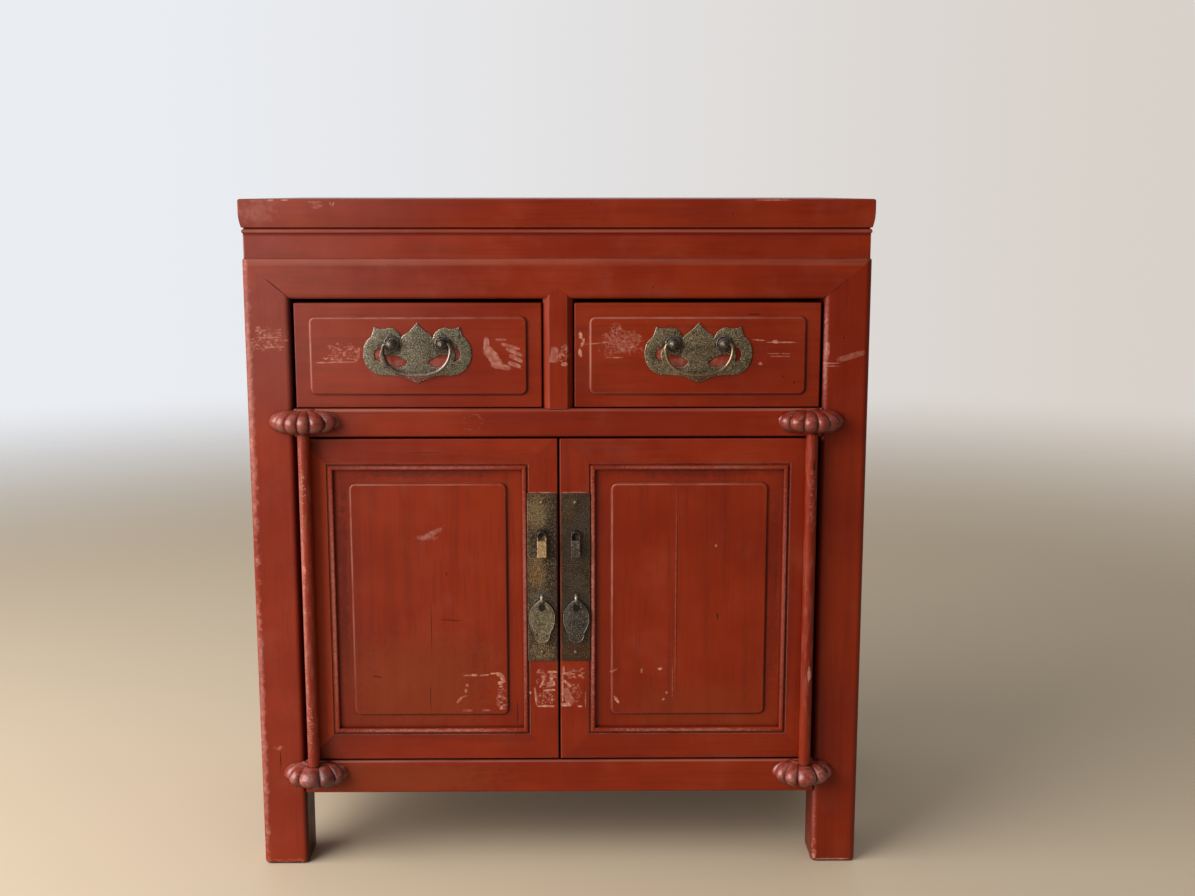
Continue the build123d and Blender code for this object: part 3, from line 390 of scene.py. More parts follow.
def mark_pattern(g, kind):
    """How much lacquer is gone inside a mark, or how strong its painted shade or highlight is."""
    if kind == "solid":
        return g.ramp(g.noise(g.scaled(g.place, (0.5, 1, 1)), 260.0, 3, 0.6), 0.26, 0.5, 0.45, 1.0)
    if kind == "dashes":
        return g.ramp(g.noise(g.scaled(g.place, (0.4, 1, 1)), 260.0, 3, 0.6), 0.34, 0.50)
    if kind == "grit":
        return g.ramp(g.noise(g.scaled(g.place, (0.55, 1, 1)), 430.0, 3, 0.6), 0.49, 0.58)
    web = g.cells(g.place, 270.0, "DISTANCE_TO_EDGE")
    if kind == "net":
        return g.ramp(web, 0.16, 0.04)
    return g.ramp(web, 0.05, 0.22)


def mark_mask(g, kind, x, z, half_x, half_z, strength, turn=0.0):
    """Where the lacquer is rubbed off by one mark, or where it carries painted shade or a painted
    highlight.
    """
    fray, square, pattern, _ = MARK_KINDS[kind]
    spot = g.spot(x, z, half_x, half_z, turn)
    fine = min(half_x, half_z) < 4.0
    ragged = g.once(f"ragged {fine}", lambda: g.math(
        "SUBTRACT", g.noise(g.place, 420.0 if fine else 150.0, 3), 0.5))
    if square:
        across = g.size(g.axis(spot, "X"))
        distance = g.larger(across, g.size(g.axis(spot, "Z")))
        distance = g.scaled_sum(g.length(spot), 0.4, g.times(distance, 0.62))
    else:
        distance = g.length(spot)
    reach = g.scaled_sum(ragged, 2 * fray, distance)
    area = g.ramp(reach, 1.1, 0.35) if kind in SOFT_MARKS else g.ramp(reach, 1.0, 0.8)
    if kind == "ring":
        area = g.times(area, g.ramp(reach, 0.66, 0.84))
    inside = g.once(pattern, lambda: mark_pattern(g, pattern))
    area = g.times(g.times(area, inside), strength)
    return g.times(area, g.facing_front())


def field_edge_light_and_shade(g, node, place):
    """Edge of a raised field: a painted highlight, strongest along its top and its left, and
    painted shade along its bottom and its right.
    """
    x, z, half_x, half_z = DRAWER_FIELD if "drawer" in node else DOOR_FIELD
    x *= SIDES[node.split("_")[0]]
    from_middle = g.local(mm(x, 0, z), (1, 1, 1))
    across, up = g.axis(from_middle, "X"), g.axis(from_middle, "Z")
    past_x = g.minus(g.size(across), (half_x - FIELD_CORNER) * MM)
    past_z = g.minus(g.size(up), (half_z - FIELD_CORNER) * MM)
    round_x, round_z = g.larger(past_x, 0.0), g.larger(past_z, 0.0)
    corner = g.math("SQRT", g.scaled_sum(round_x, round_x, g.times(round_z, round_z)))
    inside = g.math("MINIMUM", g.larger(past_x, past_z), 0.0)
    outward = g.minus(g.math("ADD", corner, inside), FIELD_CORNER * MM)
    line = g.ramp(g.size(g.math("ADD", outward, 1.2 * MM)), 1.5 * MM, 0.4 * MM)
    lit = g.minus(g.math("DIVIDE", up, half_z * MM), g.math("DIVIDE", across, half_x * MM))
    uneven = g.ramp(g.noise(place, 30.0, 3), 0.30, 0.62, 0.35, 1.0)
    light = g.times(g.ramp(lit, -0.4, 1.2, 0.10, 0.62), uneven)
    foot = g.ramp(g.size(g.minus(outward, 1.0 * MM)), 2.0 * MM, 0.5 * MM)
    dark = g.times(g.ramp(lit, 0.4, -1.0, 0.0, 0.75), foot)
    light = g.times(g.times(line, light), g.facing_front())
    return light, g.times(dark, g.facing_front())


def band_wear_and_highlight(g, place, height, half_z, strength):
    """Worn, paler lacquer with a painted highlight along a level edge."""
    uneven = g.ramp(g.noise(g.scaled(place, GRAIN["X"]), 60.0, 4, 0.65), 0.32, 0.62, 0.3, 1.0)
    return g.times(g.times(seam_mask(g, height, half_z), uneven), strength)


def crack_mask(g, *place):
    """A thin dark split or dent."""
    spot = g.spot(*place)
    ragged = g.once("ragged crack", lambda: g.minus(g.noise(g.place, 220.0, 2), 0.5))
    split = g.ramp(g.scaled_sum(ragged, 0.9, g.length(spot)), 1.0, 0.55)
    return g.times(split, g.facing_front())


def seam_mask(g, height, half_z):
    """A soft line along a level height."""
    away = g.size(g.minus(g.axis(g.place, "Z"), height * MM))
    return g.ramp(away, half_z * MM, half_z * 0.3 * MM)


# ---- finishes ----
LACQUER_DARK = paint(82, 18, 5)
LACQUER = paint(118, 29, 5)
LACQUER_WARM = paint(130, 37, 6)
STILE_PAINTED_LIGHT = paint(158, 50, 16)
PAINTED_SHEEN = paint(150, 138, 130)
SHADE_AND_GRIME = paint(58, 11, 5)
SEAM_SHADE = paint(92, 14, 5)
FILM = paint(147, 82, 66)
RUBBED_AND_HIGHLIGHT = paint(170, 110, 93)
BARE = paint(204, 148, 122)
MAUVE = paint(142, 84, 78)
SHADED_SIDES = {"front_left_leg": (1.0, 0.85), "back_left_leg": (1.0, 0.85),
                "front_right_leg": (-1.0, 0.4), "back_right_leg": (-1.0, 0.85)}
MARK_TONES = {"pale": (paint(154, 96, 84), paint(176, 124, 112)), "film": (FILM, RUBBED_AND_HIGHLIGHT),
              "rubbed": (FILM, RUBBED_AND_HIGHLIGHT), "bare": (RUBBED_AND_HIGHLIGHT, BARE)}
FLAT_TONES = {"painted_shade": SHADE_AND_GRIME, "brown": paint(118, 50, 16)}
GRAIN = {"X": (0.045, 1.0, 1.0), "Y": (1.0, 0.045, 1.0), "Z": (1.0, 1.0, 0.045)}


def frame_grain(g, place, scale, detail):
    """Grain along X in the front and back members of a mitred frame, along Y in its sides."""
    along_x = g.noise(g.scaled(place, GRAIN["X"]), scale, detail, 0.6)
    along_y = g.noise(g.scaled(place, GRAIN["Y"]), scale, detail, 0.6)
    side = g.minus(TOP_HALF[0] * MM, g.size(g.axis(g.place, "X")))
    ends = g.minus(TOP_HALF[1] * MM, g.size(g.axis(g.place, "Y")))
    in_side = g.math("LESS_THAN", side, ends)
    difference = g.minus(along_y, along_x)
    return g.scaled_sum(difference, in_side, along_x)


def grain(g, place, direction, scale, detail=4.0):
    if direction == "frame":
        return frame_grain(g, place, scale, detail)
    return g.noise(g.scaled(place, GRAIN[direction]), scale, detail, 0.6)


def lacquer(node, direction, seed, handled=0.0):
    """Old red-brown lacquer: brushed tone, rubbed edges, marks and splits, with painted shade in
    recesses, along seams, under lobes and beside raised fields, and painted highlights and sheen.
    """
    g = Finish(f"lacquer_{node}")
    place = g.scaled(g.place, (1, 1, 1), (seed * 0.37, seed * 0.21, seed * 0.53))
    cloud = g.noise(place, 6.5, 3, 0.6)
    streak = grain(g, place, direction, 62.0)
    fine = grain(g, place, direction, 330.0, 2.0)
    colour = g.mix(g.ramp(cloud, 0.36, 0.66), LACQUER, LACQUER_WARM)
    colour = g.mix(g.times(g.ramp(streak, 0.44, 0.72), 0.36), colour, LACQUER_DARK)
    colour = g.mix(g.times(g.ramp(fine, 0.50, 0.74), 0.26), colour, LACQUER_DARK)
    if handled:
        bloom = g.ramp(g.noise(place, 90.0, 5, 0.72), 0.40, 0.62)
        colour = g.mix(g.times(bloom, handled), colour, MAUVE)
        # Painted shade on the faces of the lobes that look down.
        underside_shade = g.ramp(g.axis(g.facing, "Z"), 0.05, -0.7, 0.0, 0.6)
        colour = g.mix(underside_shade, colour, SHADE_AND_GRIME)
    film = g.times(g.ramp(g.noise(place, 17.0, 5, 0.65), 0.5, 0.75), 0.06)
    colour = g.mix(film, colour, RUBBED_AND_HIGHLIGHT)
    # Painted sheen: paler, greyer lacquer towards the upper left, standing in for a reflection of
    # the light.
    haze = g.times(g.ramp(g.axis(g.place, "X"), -0.36, -0.04, 0.09, 0.0),
                  g.ramp(g.axis(g.place, "Z"), 0.50, 0.64, 0.2, 1.0))
    colour = g.mix(haze, colour, PAINTED_SHEEN)
    # Painted light: the face of the left pivot stile beside its pole is painted lighter, to lift
    # the pole's shadow.
    if node == "left_pivot_stile":
        behind_pole = g.ramp(g.axis(g.place, "Y"), (FRONT - 1.0) * MM, (FRONT + 0.6) * MM, 0.0, 0.9)
        colour = g.mix(g.times(behind_pole, g.facing_front()), colour, STILE_PAINTED_LIGHT)

    soft, edge = g.soft_normal(1.6 * MM, not handled)
    rubbed = g.times(edge, g.ramp(g.noise(place, 55.0, 4, 0.65), 0.26, 0.52))
    level = g.ramp(g.axis(g.facing, "Z"), 0.95, 0.80)
    rubbed = g.times(rubbed, level)
    colour = g.mix(g.times(rubbed, 0.75), colour, RUBBED_AND_HIGHLIGHT)
    # Worn, paler lacquer with a painted highlight along level bands.
    if node in BANDS:
        colour = g.mix(band_wear_and_highlight(g, place, *BANDS[node]), colour, RUBBED_AND_HIGHLIGHT)
    # Painted highlight along the top and left edges of a raised field, painted shade along its
    # bottom and right.
    if node.endswith(("drawer_front", "_panel")) and "side" not in node and "top" not in node:
        light, field_shade = field_edge_light_and_shade(g, node, place)
        colour = g.mix(field_shade, g.mix(light, colour, RUBBED_AND_HIGHLIGHT), SHADE_AND_GRIME)
    # Painted shade on the faces of the legs that look in under the cabinet.
    if node in SHADED_SIDES:
        colour = g.mix(shaded_side(g, *SHADED_SIDES[node]), colour, SHADE_AND_GRIME)
    if node.endswith("pivot_stile"):
        colour = g.mix(pole_wear(g, place), colour, RUBBED_AND_HIGHLIGHT)
    pits = g.ramp(g.cells(place, 95.0), 0.075, 0.03)
    pits = g.times(pits, g.ramp(g.noise(place, 20.0, 1), 0.56, 0.66))

    height = g.scaled_sum(g.noise(place, 14.0, 2), 1.6, g.times(streak, 0.5))
    height = g.scaled_sum(fine, 0.16, height)
    smooth, rough = (0.22, 0.34) if handled else (0.34, 0.48)
    roughness = g.ramp(g.noise(place, 26.0, 4, 0.6), 0.3, 0.7, smooth, rough)
    for mark in marks_on(node):
        mask = mark_mask(g, *mark)
        tone = MARK_KINDS[mark[0]][3]
        bare = FLAT_TONES.get(tone) or g.once(tone, lambda: g.mix(
            g.ramp(g.noise(g.place, 180.0, 2), 0.4, 0.65), *MARK_TONES[tone]))
        colour = g.mix(mask, colour, bare)
        height = g.scaled_sum(mask, -0.35, height)
        roughness = g.scaled_sum(mask, 0.25, roughness)
    dark = pits
    for crack in text_rows(CRACKS, node):
        dark = g.larger(dark, crack_mask(g, *map(float, crack)))
    # Painted shade along the seams where mouldings meet.
    for seam in SEAMS.get(node, ()):
        colour = g.mix(g.times(seam_mask(g, *seam), 0.85), colour, SEAM_SHADE)
    colour = g.mix(g.times(dark, 0.88), colour, SHADE_AND_GRIME)
    height = g.scaled_sum(dark, -0.9, height)

    # Painted shade in narrow recesses.
    open_air = g.crevice((9 if handled else 6) * MM)
    recess_shade = g.ramp(g.scaled_sum(g.noise(place, 40.0, 3), 0.25, open_air), 0.95, 0.40)
    colour = g.mix(g.times(recess_shade, 0.85), colour, SHADE_AND_GRIME)
    normal = g.bump(height, 0.22 * MM, soft)
    return g.close(colour, roughness, normal, 0.0, 0.55 if handled else 0.20)


def shaded_side(g, way, strength):
    """Painted shade on the face of a leg that looks in under the cabinet."""
    inward = g.axis(g.facing, "X")
    return g.ramp(g.times(inward, way), 0.3, 0.85, 0.0, strength)


def pole_wear(g, place):
    """Rubbed streaks on the pole that stands in front of its stile."""
    on_pole = g.ramp(g.axis(g.place, "Y"), (FRONT - POLE_FRONT + 1) * MM, (FRONT - POLE_FRONT) * MM)
    streaks = g.noise(g.scaled(place, (1, 1, 0.22)), 190.0, 4, 0.65)
    specks = g.noise(place, 420.0, 3, 0.65)
    worn = g.larger(g.ramp(streaks, 0.50, 0.64), g.ramp(specks, 0.60, 0.68))
    return g.times(g.times(worn, on_pole), 0.18)


WOOD_PALE = paint(158, 122, 84)
WOOD = paint(122, 88, 58)
WOOD_DARK = paint(66, 44, 28)


def bare_wood(node, direction, seed):
    """Unfinished old softwood, darkened and dusty, with growth rings."""
    g = Finish(f"bare_wood_{node}")
    place = g.scaled(g.place, (1, 1, 1), (seed * 0.29, seed * 0.41, seed * 0.17))
    streak = grain(g, place, direction, 46.0, 5.0)
    fine = grain(g, place, direction, 260.0, 3.0)
    rings = g.math("FRACT", g.times(grain(g, place, direction, 13.0, 1.0), 9.0))
    colour = g.mix(g.ramp(streak, 0.36, 0.66), WOOD, WOOD_PALE)
    colour = g.mix(g.times(g.ramp(rings, 0.62, 1.0), 0.45), colour, WOOD_DARK)
    colour = g.mix(g.times(g.ramp(fine, 0.52, 0.75), 0.5), colour, WOOD_DARK)
    overlay = g.ramp(g.noise(place, 7.0, 4, 0.65), 0.48, 0.70)
    colour = g.mix(g.times(overlay, 0.5), colour, WOOD_DARK)
    # Painted shade in recesses.
    open_air = g.crevice(18 * MM)
    colour = g.mix(g.times(g.ramp(open_air, 0.9, 0.35), 0.7), colour, SHADE_AND_GRIME)
    soft, edge = g.soft_normal(1.2 * MM)
    colour = g.mix(g.times(edge, 0.3), colour, WOOD_PALE)
    height = g.scaled_sum(streak, 0.8, g.times(fine, 0.5))
    normal = g.bump(height, 0.30 * MM, soft)
    return g.close(colour, g.ramp(fine, 0.3, 0.7, 0.62, 0.82), normal)


# dark tone, middle tone, rust or verdigris patches, bright tone of worn rims, glints and painted
# rim highlights
METALS = {
    "left_bat": "36 31 24, 112 101 80, 92 88 64, 236 222 200",
    "right_bat": "36 29 21, 110 94 68, 96 86 58, 226 206 172",
    "left_bail": "104 90 82, 136 120 110, 96 80 72, 240 230 220",
    "right_bail": "104 86 64, 136 116 88, 104 84 60, 236 220 190",
    "posts": "30 26 23, 88 79 69, 60 52 45, 240 230 214",
    "left_plate": "38 29 21, 80 62 43, 94 67 38, 170 148 112",
    "right_plate": "32 24 16, 60 45 30, 62 42 24, 140 118 90",
    "left_leaf": "62 54 40, 114 102 78, 98 92 62, 218 210 192",
    "right_leaf": "36 32 28, 70 62 54, 58 50 42, 196 188 176",
    "gilt": "96 70 42, 184 152 108, 146 102 62, 240 222 182",
    "steel": "38 32 28, 70 60 50, 64 52 42, 176 162 146",
    "nail": "44 35 27, 96 80 60, 80 60 42, 190 170 138",
    "silver": "70 64 58, 150 142 130, 116 104 90, 236 230 220",
}
COVERING_OVERLAY = 0.9  # above this strength a stain or a patch of painted shade also covers pits and glints
# Stains, and some patches of painted shade: centre x and z, half width and half height in mm, red,
# green, blue, strength.
STAINS_AND_SHADE = {
    "left_face_plate": """
        -18.3 410 18 30 40 33 27 .8, -20.8 342 16 13 84 82 76 .55, -26.5 374 12 22 134 100 60 .6,
        -27 448 13 24 128 106 72 .65, -18 277 18 13 130 104 72 .5, -3 370 13 130 44 34 27 .85,
        -36.5 448 3.5 26 120 78 52 .4""",
    "right_face_plate": """
        20.3 408 15 26 56 48 42 .6, 20.8 332 17 28 48 43 38 .7, 20 275 20 12 78 48 26 .7,
        12 452 9 16 92 70 52 .4, 30 440 8 36 62 52 46 .5""",
    # The dark arched top of each lock staple is painted shade.
    "left_lock_staple": "-20.3 427 14 10.5 50 48 46 .95",
    "right_lock_staple": "20.3 427 14 10.5 46 43 40 .85",
    # On the pendants, the dark rivet hole and the dark notch under each ring are painted shade.
    "left_pendant": "-27 297.4 1.6 1.6 20 15 12 1, -20.8 331.2 4.6 5.4 20 15 12 .98",
    "right_pendant": "20.8 331.2 4.8 5.6 16 13 11 .98, 21.5 309 10 8 34 30 27 .6",
    "left_bail": "-205 634 9 24 52 30 26 .75",
    # On both bats the dark rings round the posts are painted shade.
    "left_bat": """
        -196 649.5 12.5 12.5 44 37 31 .85, -136 649.5 12.5 12.5 44 37 31 .85,
        -166 607.5 30 8 120 58 44 .85""",
    "right_bat": """
        136 649.5 12.5 12.5 44 37 31 .8, 196 649.5 12.5 12.5 44 37 31 .8,
        166 607.5 30 8 92 48 36 .75""",
}


def overlaid(g, colour, x, z, half_x, half_z, red, green, blue, strength):
    """A colour with one stain, or one patch of painted shade, over it."""
    spot = g.spot(x, z, half_x, half_z)
    ragged = g.once("ragged", lambda: g.minus(g.noise(g.place, 110.0, 4, 0.6), 0.5))
    fray = min(1.4, half_x * 0.18)
    reach = g.scaled_sum(ragged, fray, g.length(spot))
    return g.mix(g.times(g.ramp(reach, 1.1, 0.7), strength), colour, paint(red, green, blue))


def aged_metal(name, tones, seed, grit=1.0, edge_width=0.5, shine=0.45, smooth=0.36):
    """Handled brass: mottled patina, pits, painted shade in recesses, and worn rims with a painted
    highlight where they face up and left and painted shade where they face away.
    """
    dark, middle, patch, bright = (paint(*map(int, tone)) for tone in text_rows(METALS, tones))
    g = Finish(f"metal_{name}")
    place = g.scaled(g.place, (1, 1, 1), (seed * 0.31, seed * 0.17, seed * 0.23))
    mottle = g.noise(place, 240.0, 5, 0.72)
    blotch = g.noise(place, 38.0, 3, 0.6)
    speck = g.noise(place, 760.0, 3, 0.7)
    colour = g.mix(g.ramp(mottle, 0.30, 0.56), dark, middle)
    colour = g.mix(g.times(g.ramp(blotch, 0.48, 0.66), 0.5), colour, patch)
    overlays = [list(map(float, row)) for row in text_rows(STAINS_AND_SHADE, name)]
    for overlay in overlays:
        colour = overlaid(g, colour, *overlay)
    pit = g.times(g.ramp(speck, 0.51, 0.59), min(1.0, 0.8 * grit))
    colour = g.mix(pit, colour, dark)
    glint = g.times(g.ramp(speck, 0.44, 0.36), 0.5 * grit)
    colour = g.mix(glint, colour, bright)
    for overlay in overlays:
        if overlay[-1] > COVERING_OVERLAY:
            colour = overlaid(g, colour, *overlay)
    soft, edge = g.soft_normal(edge_width * MM)
    turn = g.add("VectorTransform", vector_type="NORMAL", convert_from="WORLD",
                 convert_to="OBJECT")
    g.put(turn.inputs[0], soft)
    lit = g.minus(g.axis(turn.outputs[0], "Z"), g.axis(turn.outputs[0], "X"))
    # Rims that face up and to the left: worn brass with a painted highlight in the bright tone.
    worn = g.times(edge, g.ramp(g.noise(place, 90.0, 3), 0.30, 0.55))
    worn = g.times(worn, g.ramp(lit, -0.25, 0.30, 0.08, 1.0))
    # Rims that face down and to the right: painted shade in the dark tone.
    colour = g.mix(g.times(g.times(edge, g.ramp(lit, 0.1, -0.4)), 0.6), colour, dark)
    colour = g.mix(g.times(worn, 0.9), colour, bright)
    # Painted shade in recesses.
    open_air = g.crevice(4 * MM)
    colour = g.mix(g.times(g.ramp(open_air, 0.85, 0.35), 0.85), colour, SHADE_AND_GRIME)
    height = g.scaled_sum(mottle, 0.7, g.times(speck, 0.35 * grit))
    height = g.scaled_sum(g.noise(place, 30.0, 1), 1.6, height)
    normal = g.bump(height, (0.04 + 0.16 * min(1.0, grit)) * MM, soft)
    roughness = g.ramp(mottle, 0.3, 0.7, smooth, smooth + 0.18)
    metal = g.ramp(g.larger(blotch, worn), 0.3, 0.7, shine * 0.75, min(1.0, shine * 1.6))
    return g.close(colour, roughness, normal, metal)


# ---- which CAD node has which finish ----
DOOR_GRAIN = {"pivot_stile": "Z", "lock_stile": "Z", "top_rail": "X", "bottom_rail": "X",
              "panel": "Z"}
LACQUER_GRAIN = {
    "front_left_leg": "Z", "front_right_leg": "Z", "back_left_leg": "Z", "back_right_leg": "Z",
    "top_frame": "frame", "top_panel": "X", "waist_frieze": "frame", "front_top_rail": "X",
    "drawer_divider": "Z", "middle_rail": "X", "bottom_rail": "X", "side_rails": "Y",
    "left_side_panel": "Z", "right_side_panel": "Z",
    "left_drawer_front": "X", "right_drawer_front": "X",
}
LACQUER_GRAIN.update({f"{side}_{part}": way for side in SIDES for part, way in DOOR_GRAIN.items()})
WOOD_GRAIN = {"top_battens": "Y", "back_rails": "X", "back_panels": "Z", "cabinet_floor": "X",
              "drawer_runners": "Y", "door_stops": "X"}
WOOD_GRAIN.update({f"{side}_{part}": way for side in SIDES for part, way in
                   {"drawer_sides": "Y", "drawer_back": "X", "drawer_bottom": "X"}.items()})
METAL_TONE = {f"{side}_{part}": f"{side}_plate" if part == "face_plate" else "nail"
              for part in ("face_plate", "plate_nails", "bail_plate_nails") for side in SIDES}


def dress(node, material):
    """Gives a CAD node's slots its finish."""
    for slot in NODES[node].material_slots:
        slot.material = material


def dress_cad_nodes():
    for seed, (node, way) in enumerate(LACQUER_GRAIN.items()):
        dress(node, lacquer(node, way, seed + 1))
    for seed, (node, way) in enumerate(WOOD_GRAIN.items()):
        dress(node, bare_wood(node, way, seed + 1))
    for seed, (node, tone) in enumerate(METAL_TONE.items()):
        grit = 1.3 if node.endswith("face_plate") else 0.4
        dress(node, aged_metal(node, tone, seed + 1, grit))


# ---- meshes ----
def show(name, data):
    """A new object in the scene."""
    item = bpy.data.objects.new(name, data)
    bpy.context.scene.collection.objects.link(item)
    return item


def add_piece(name, mesh_data, body, material, *stands_for, slot="aged_brass", crease=35.0):
    """Adds a mesh as a piece that rides on body and stands for the given CAD nodes."""
    mesh = bpy.data.meshes.new(name)
    bmesh.ops.recalc_face_normals(mesh_data, faces=mesh_data.faces)
    mesh_data.to_mesh(mesh)
    mesh_data.free()
    mesh.shade_smooth()
    mesh.set_sharp_from_angle(angle=radians(crease))
    mesh.materials.append(material)
    piece = show(name, mesh)
    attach(piece, body)
    if stands_for:
        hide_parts(*stands_for)
    return piece


def skin(bm, rings, capped=True):
    """Joins rings of points, all of one length, into a tube."""
    rows = [[bm.verts.new(point) for point in ring] for ring in rings]
    count = len(rows[0])
    for first, second in zip(rows, rows[1:]):
        for i in range(count):
            j = (i + 1) % count
            bm.faces.new((first[i], first[j], second[j], second[i]))
    if capped:
        bm.faces.new(rows[0])
        bm.faces.new(list(reversed(rows[-1])))
    return rows


def smooth_path(points, steps):
    """Points of a Catmull-Rom curve through the given points."""
    ends = [2 * points[0] - points[1], *points, 2 * points[-1] - points[-2]]
    path = []
    for a, b, c, d in zip(ends, ends[1:], ends[2:], ends[3:]):
        for step in range(steps):
            t = step / steps
            path.append(0.5 * (2 * b + (c - a) * t + (2 * a - 5 * b + 4 * c - d) * t * t
                               + (3 * b - a - 3 * c + d) * t ** 3))
    path.append(points[-1])
    return path


def flat_sweep(bm, path, radii, sides=20):
    """A round bar along a path that lies in a plane of constant Y."""
    turns = [k * tau / sides for k in range(sides)]
    rings = []
    for i, point in enumerate(path):
        run = (path[min(i + 1, len(path) - 1)] - path[max(i - 1, 0)]).normalized()
        across = Vector((-run.z, 0, run.x))
        rings.append([point + radii[i] * (across * cos(turn) + Vector((0, sin(turn), 0)))
                      for turn in turns])
    skin(bm, rings)


def turned(bm, centre, profile, sides=40):
    """A turned form about an axis along -Y: profile gives radius and distance in front."""
    rings = [[centre + mm(r * cos(k * tau / sides), -out, r * sin(k * tau / sides))
              for k in range(sides)] for r, out in profile]
    skin(bm, rings)


# ---- pivot bosses ----
# radius, height over the boss's lowest point, depth of the crease between two lobes
UPPER_BOSS = [(0.5, 26.9, 0), (8.6, 26.9, 0), (10.3, 27.9, 0), (12.2, 27.7, 0), (13.6, 26.5, 0.3),
              (18, 26.4, 1.0), (26, 25.8, 2.2), (33, 24.0, 3.6), (38.2, 20.8, 4.9),
              (41.0, 17.0, 5.6), (41.75, 13.4, 5.8), (41.0, 9.0, 5.7), (38.4, 4.6, 5.0),
              (33.8, 1.4, 3.6), (28, 0.1, 1.4), (14, 0, 0), (0.5, 0, 0)]
LOWER_BOSS = [(0.5, 29.0, 0), (13.0, 29.0, 0), (15.8, 30.1, 0), (18.6, 30.2, 0), (20.6, 29.3, 0.3),
              (26, 29.0, 1.4), (31, 27.6, 2.8), (36, 24.6, 4.2), (39.8, 20.4, 5.2),
              (41.75, 16.0, 5.8), (41.2, 12.0, 5.8), (38.6, 8.0, 5.4), (33, 4.0, 4.4),
              (25, 1.2, 2.8), (15, 0.1, 1.2), (8, 0, 0.3), (0.5, 0, 0)]
# width share of each boss, then the creases that show: degrees from the front, growing towards +X
CREASES = {
    "upper_left_boss": (1.045, (-102, -54, -30.5, -7, 13.5, 42, 71, 112)),
    "upper_right_boss": (0.985, (-104, -75, -47, -18, 7, 30.5, 56, 103)),
    "lower_left_boss": (0.99, (-104, -57, -30, 13, 43, 66, 108)),
    "lower_right_boss": (0.935, (-108, -72, -44, -16.5, 25, 55, 103)),
}
HIDDEN_LOBES = 5


def boss_creases(name):
    """All the creases round a boss: those listed, and an even row behind the case's front."""
    shown = CREASES[name][1]
    rest = 360 - (shown[-1] - shown[0])
    hidden = [shown[-1] + rest * i / HIDDEN_LOBES for i in range(1, HIDDEN_LOBES)]
    return [radians(angle) for angle in (*shown, *hidden, shown[0] + 360)]


def lobed_boss(name, profile, material):
    """Half of a lobed lens, carved like a melon, let into the case behind its front."""
    low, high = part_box(name)
    middle = Vector(((low.x + high.x) / 2, low.y + max(point[0] for point in profile) * MM, low.z))
    rows = smooth_path([Vector(point) for point in profile], 5)
    creases = boss_creases(name)
    wide = CREASES[name][0]
    steps = 16
    rings = []
    for i, (radius, height, depth) in enumerate(rows):
        before, after = rows[max(i - 1, 0)], rows[min(i + 1, len(rows) - 1)]
        slope = Vector((after.x - before.x, after.y - before.y)).normalized()
        inward = Vector((slope.y, -slope.x))
        ring = []
        for start, end in zip(creases, creases[1:]):
            cut = depth * min(1.25, (end - start) / radians(25))
            for step in range(steps):
                across = sin((step / steps - 0.5) * pi)
                angle = start + (across + 1) / 2 * (end - start)
                sunk = cut * (1 - sqrt(max(0.0, 1 - across * across)))
                r = max(0.4, radius + inward.x * sunk)
                spot = (wide * r * sin(angle), -r * cos(angle), height + inward.y * sunk)
                ring.append(middle + mm(*spot))
        rings.append(ring)
    bm = bmesh.new()
    skin(bm, rings)
    cut = bmesh.ops.bisect_plane(bm, geom=bm.verts[:] + bm.edges[:] + bm.faces[:],
                                 plane_co=mm(0, FRONT + 2, 0), plane_no=(0, 1, 0), clear_outer=True)
    rim = [item for item in cut["geom_cut"] if isinstance(item, bmesh.types.BMEdge)]
    bmesh.ops.holes_fill(bm, edges=rim)
    add_piece(f"{name}_carving", bm, "carcass", material, name, slot="lacquered_wood", crease=50)


def make_bosses():
    for seed, name in enumerate(CREASES):
        profile, worn = (UPPER_BOSS, 0.4) if name.startswith("upper") else (LOWER_BOSS, 0.75)
        lobed_boss(name, profile, lacquer(name, "Z", 50 + seed, worn))


# ---- bails and their fittings ----
def hinge_point(joint):
    return next(Vector(entry["pos_m"]) for entry in frame["joints"] if entry["name"] == joint)


def make_bail(side, metal):
    """Bent wire handle, thickest at the middle, its ends turned in through the posts."""
    axis = hinge_point(f"{side}_bail_hinge")
    half = [(24.6, 0), (30.5, 0), (34.8, 0.8), (38.2, -0.8), (39.6, -5.5), (39.0, -12.0),
            (36.4, -19.6), (31.0, -26.8), (22.8, -32.2), (12.0, -35.2), (0, -36.0)]
    line = half + [(-x, z) for x, z in reversed(half[:-1])]
    path = smooth_path([axis + mm(x, 0, z) for x, z in line], 8)
    thin, thick = 1.6, 2.1
    last = len(path) - 1
    radii = [(thin + (thick - thin) * sin(pi * i / last) ** 0.8) * MM for i in range(last + 1)]
    bm = bmesh.new()
    flat_sweep(bm, path, radii)
    add_piece(f"{side}_bail_wire", bm, f"{side}_bail", metal, f"{side}_bail")


# radius and distance in front of the backplate
POST_PROFILE = [(0.3, -19.0), (2.2, -19.0), (2.2, 0.2), (9.4, 0.2), (9.6, 1.0), (8.9, 1.7),
                (8.0, 1.5), (7.5, 0.9), (6.6, 0.9), (5.2, 1.6), (4.0, 2.8), (3.7, 4.2), (4.6, 5.2),
                (6.0, 6.4), (6.5, 8.0), (6.3, 9.6), (5.3, 11.4), (3.6, 12.9), (1.9, 13.9),
                (0.3, 14.5)]


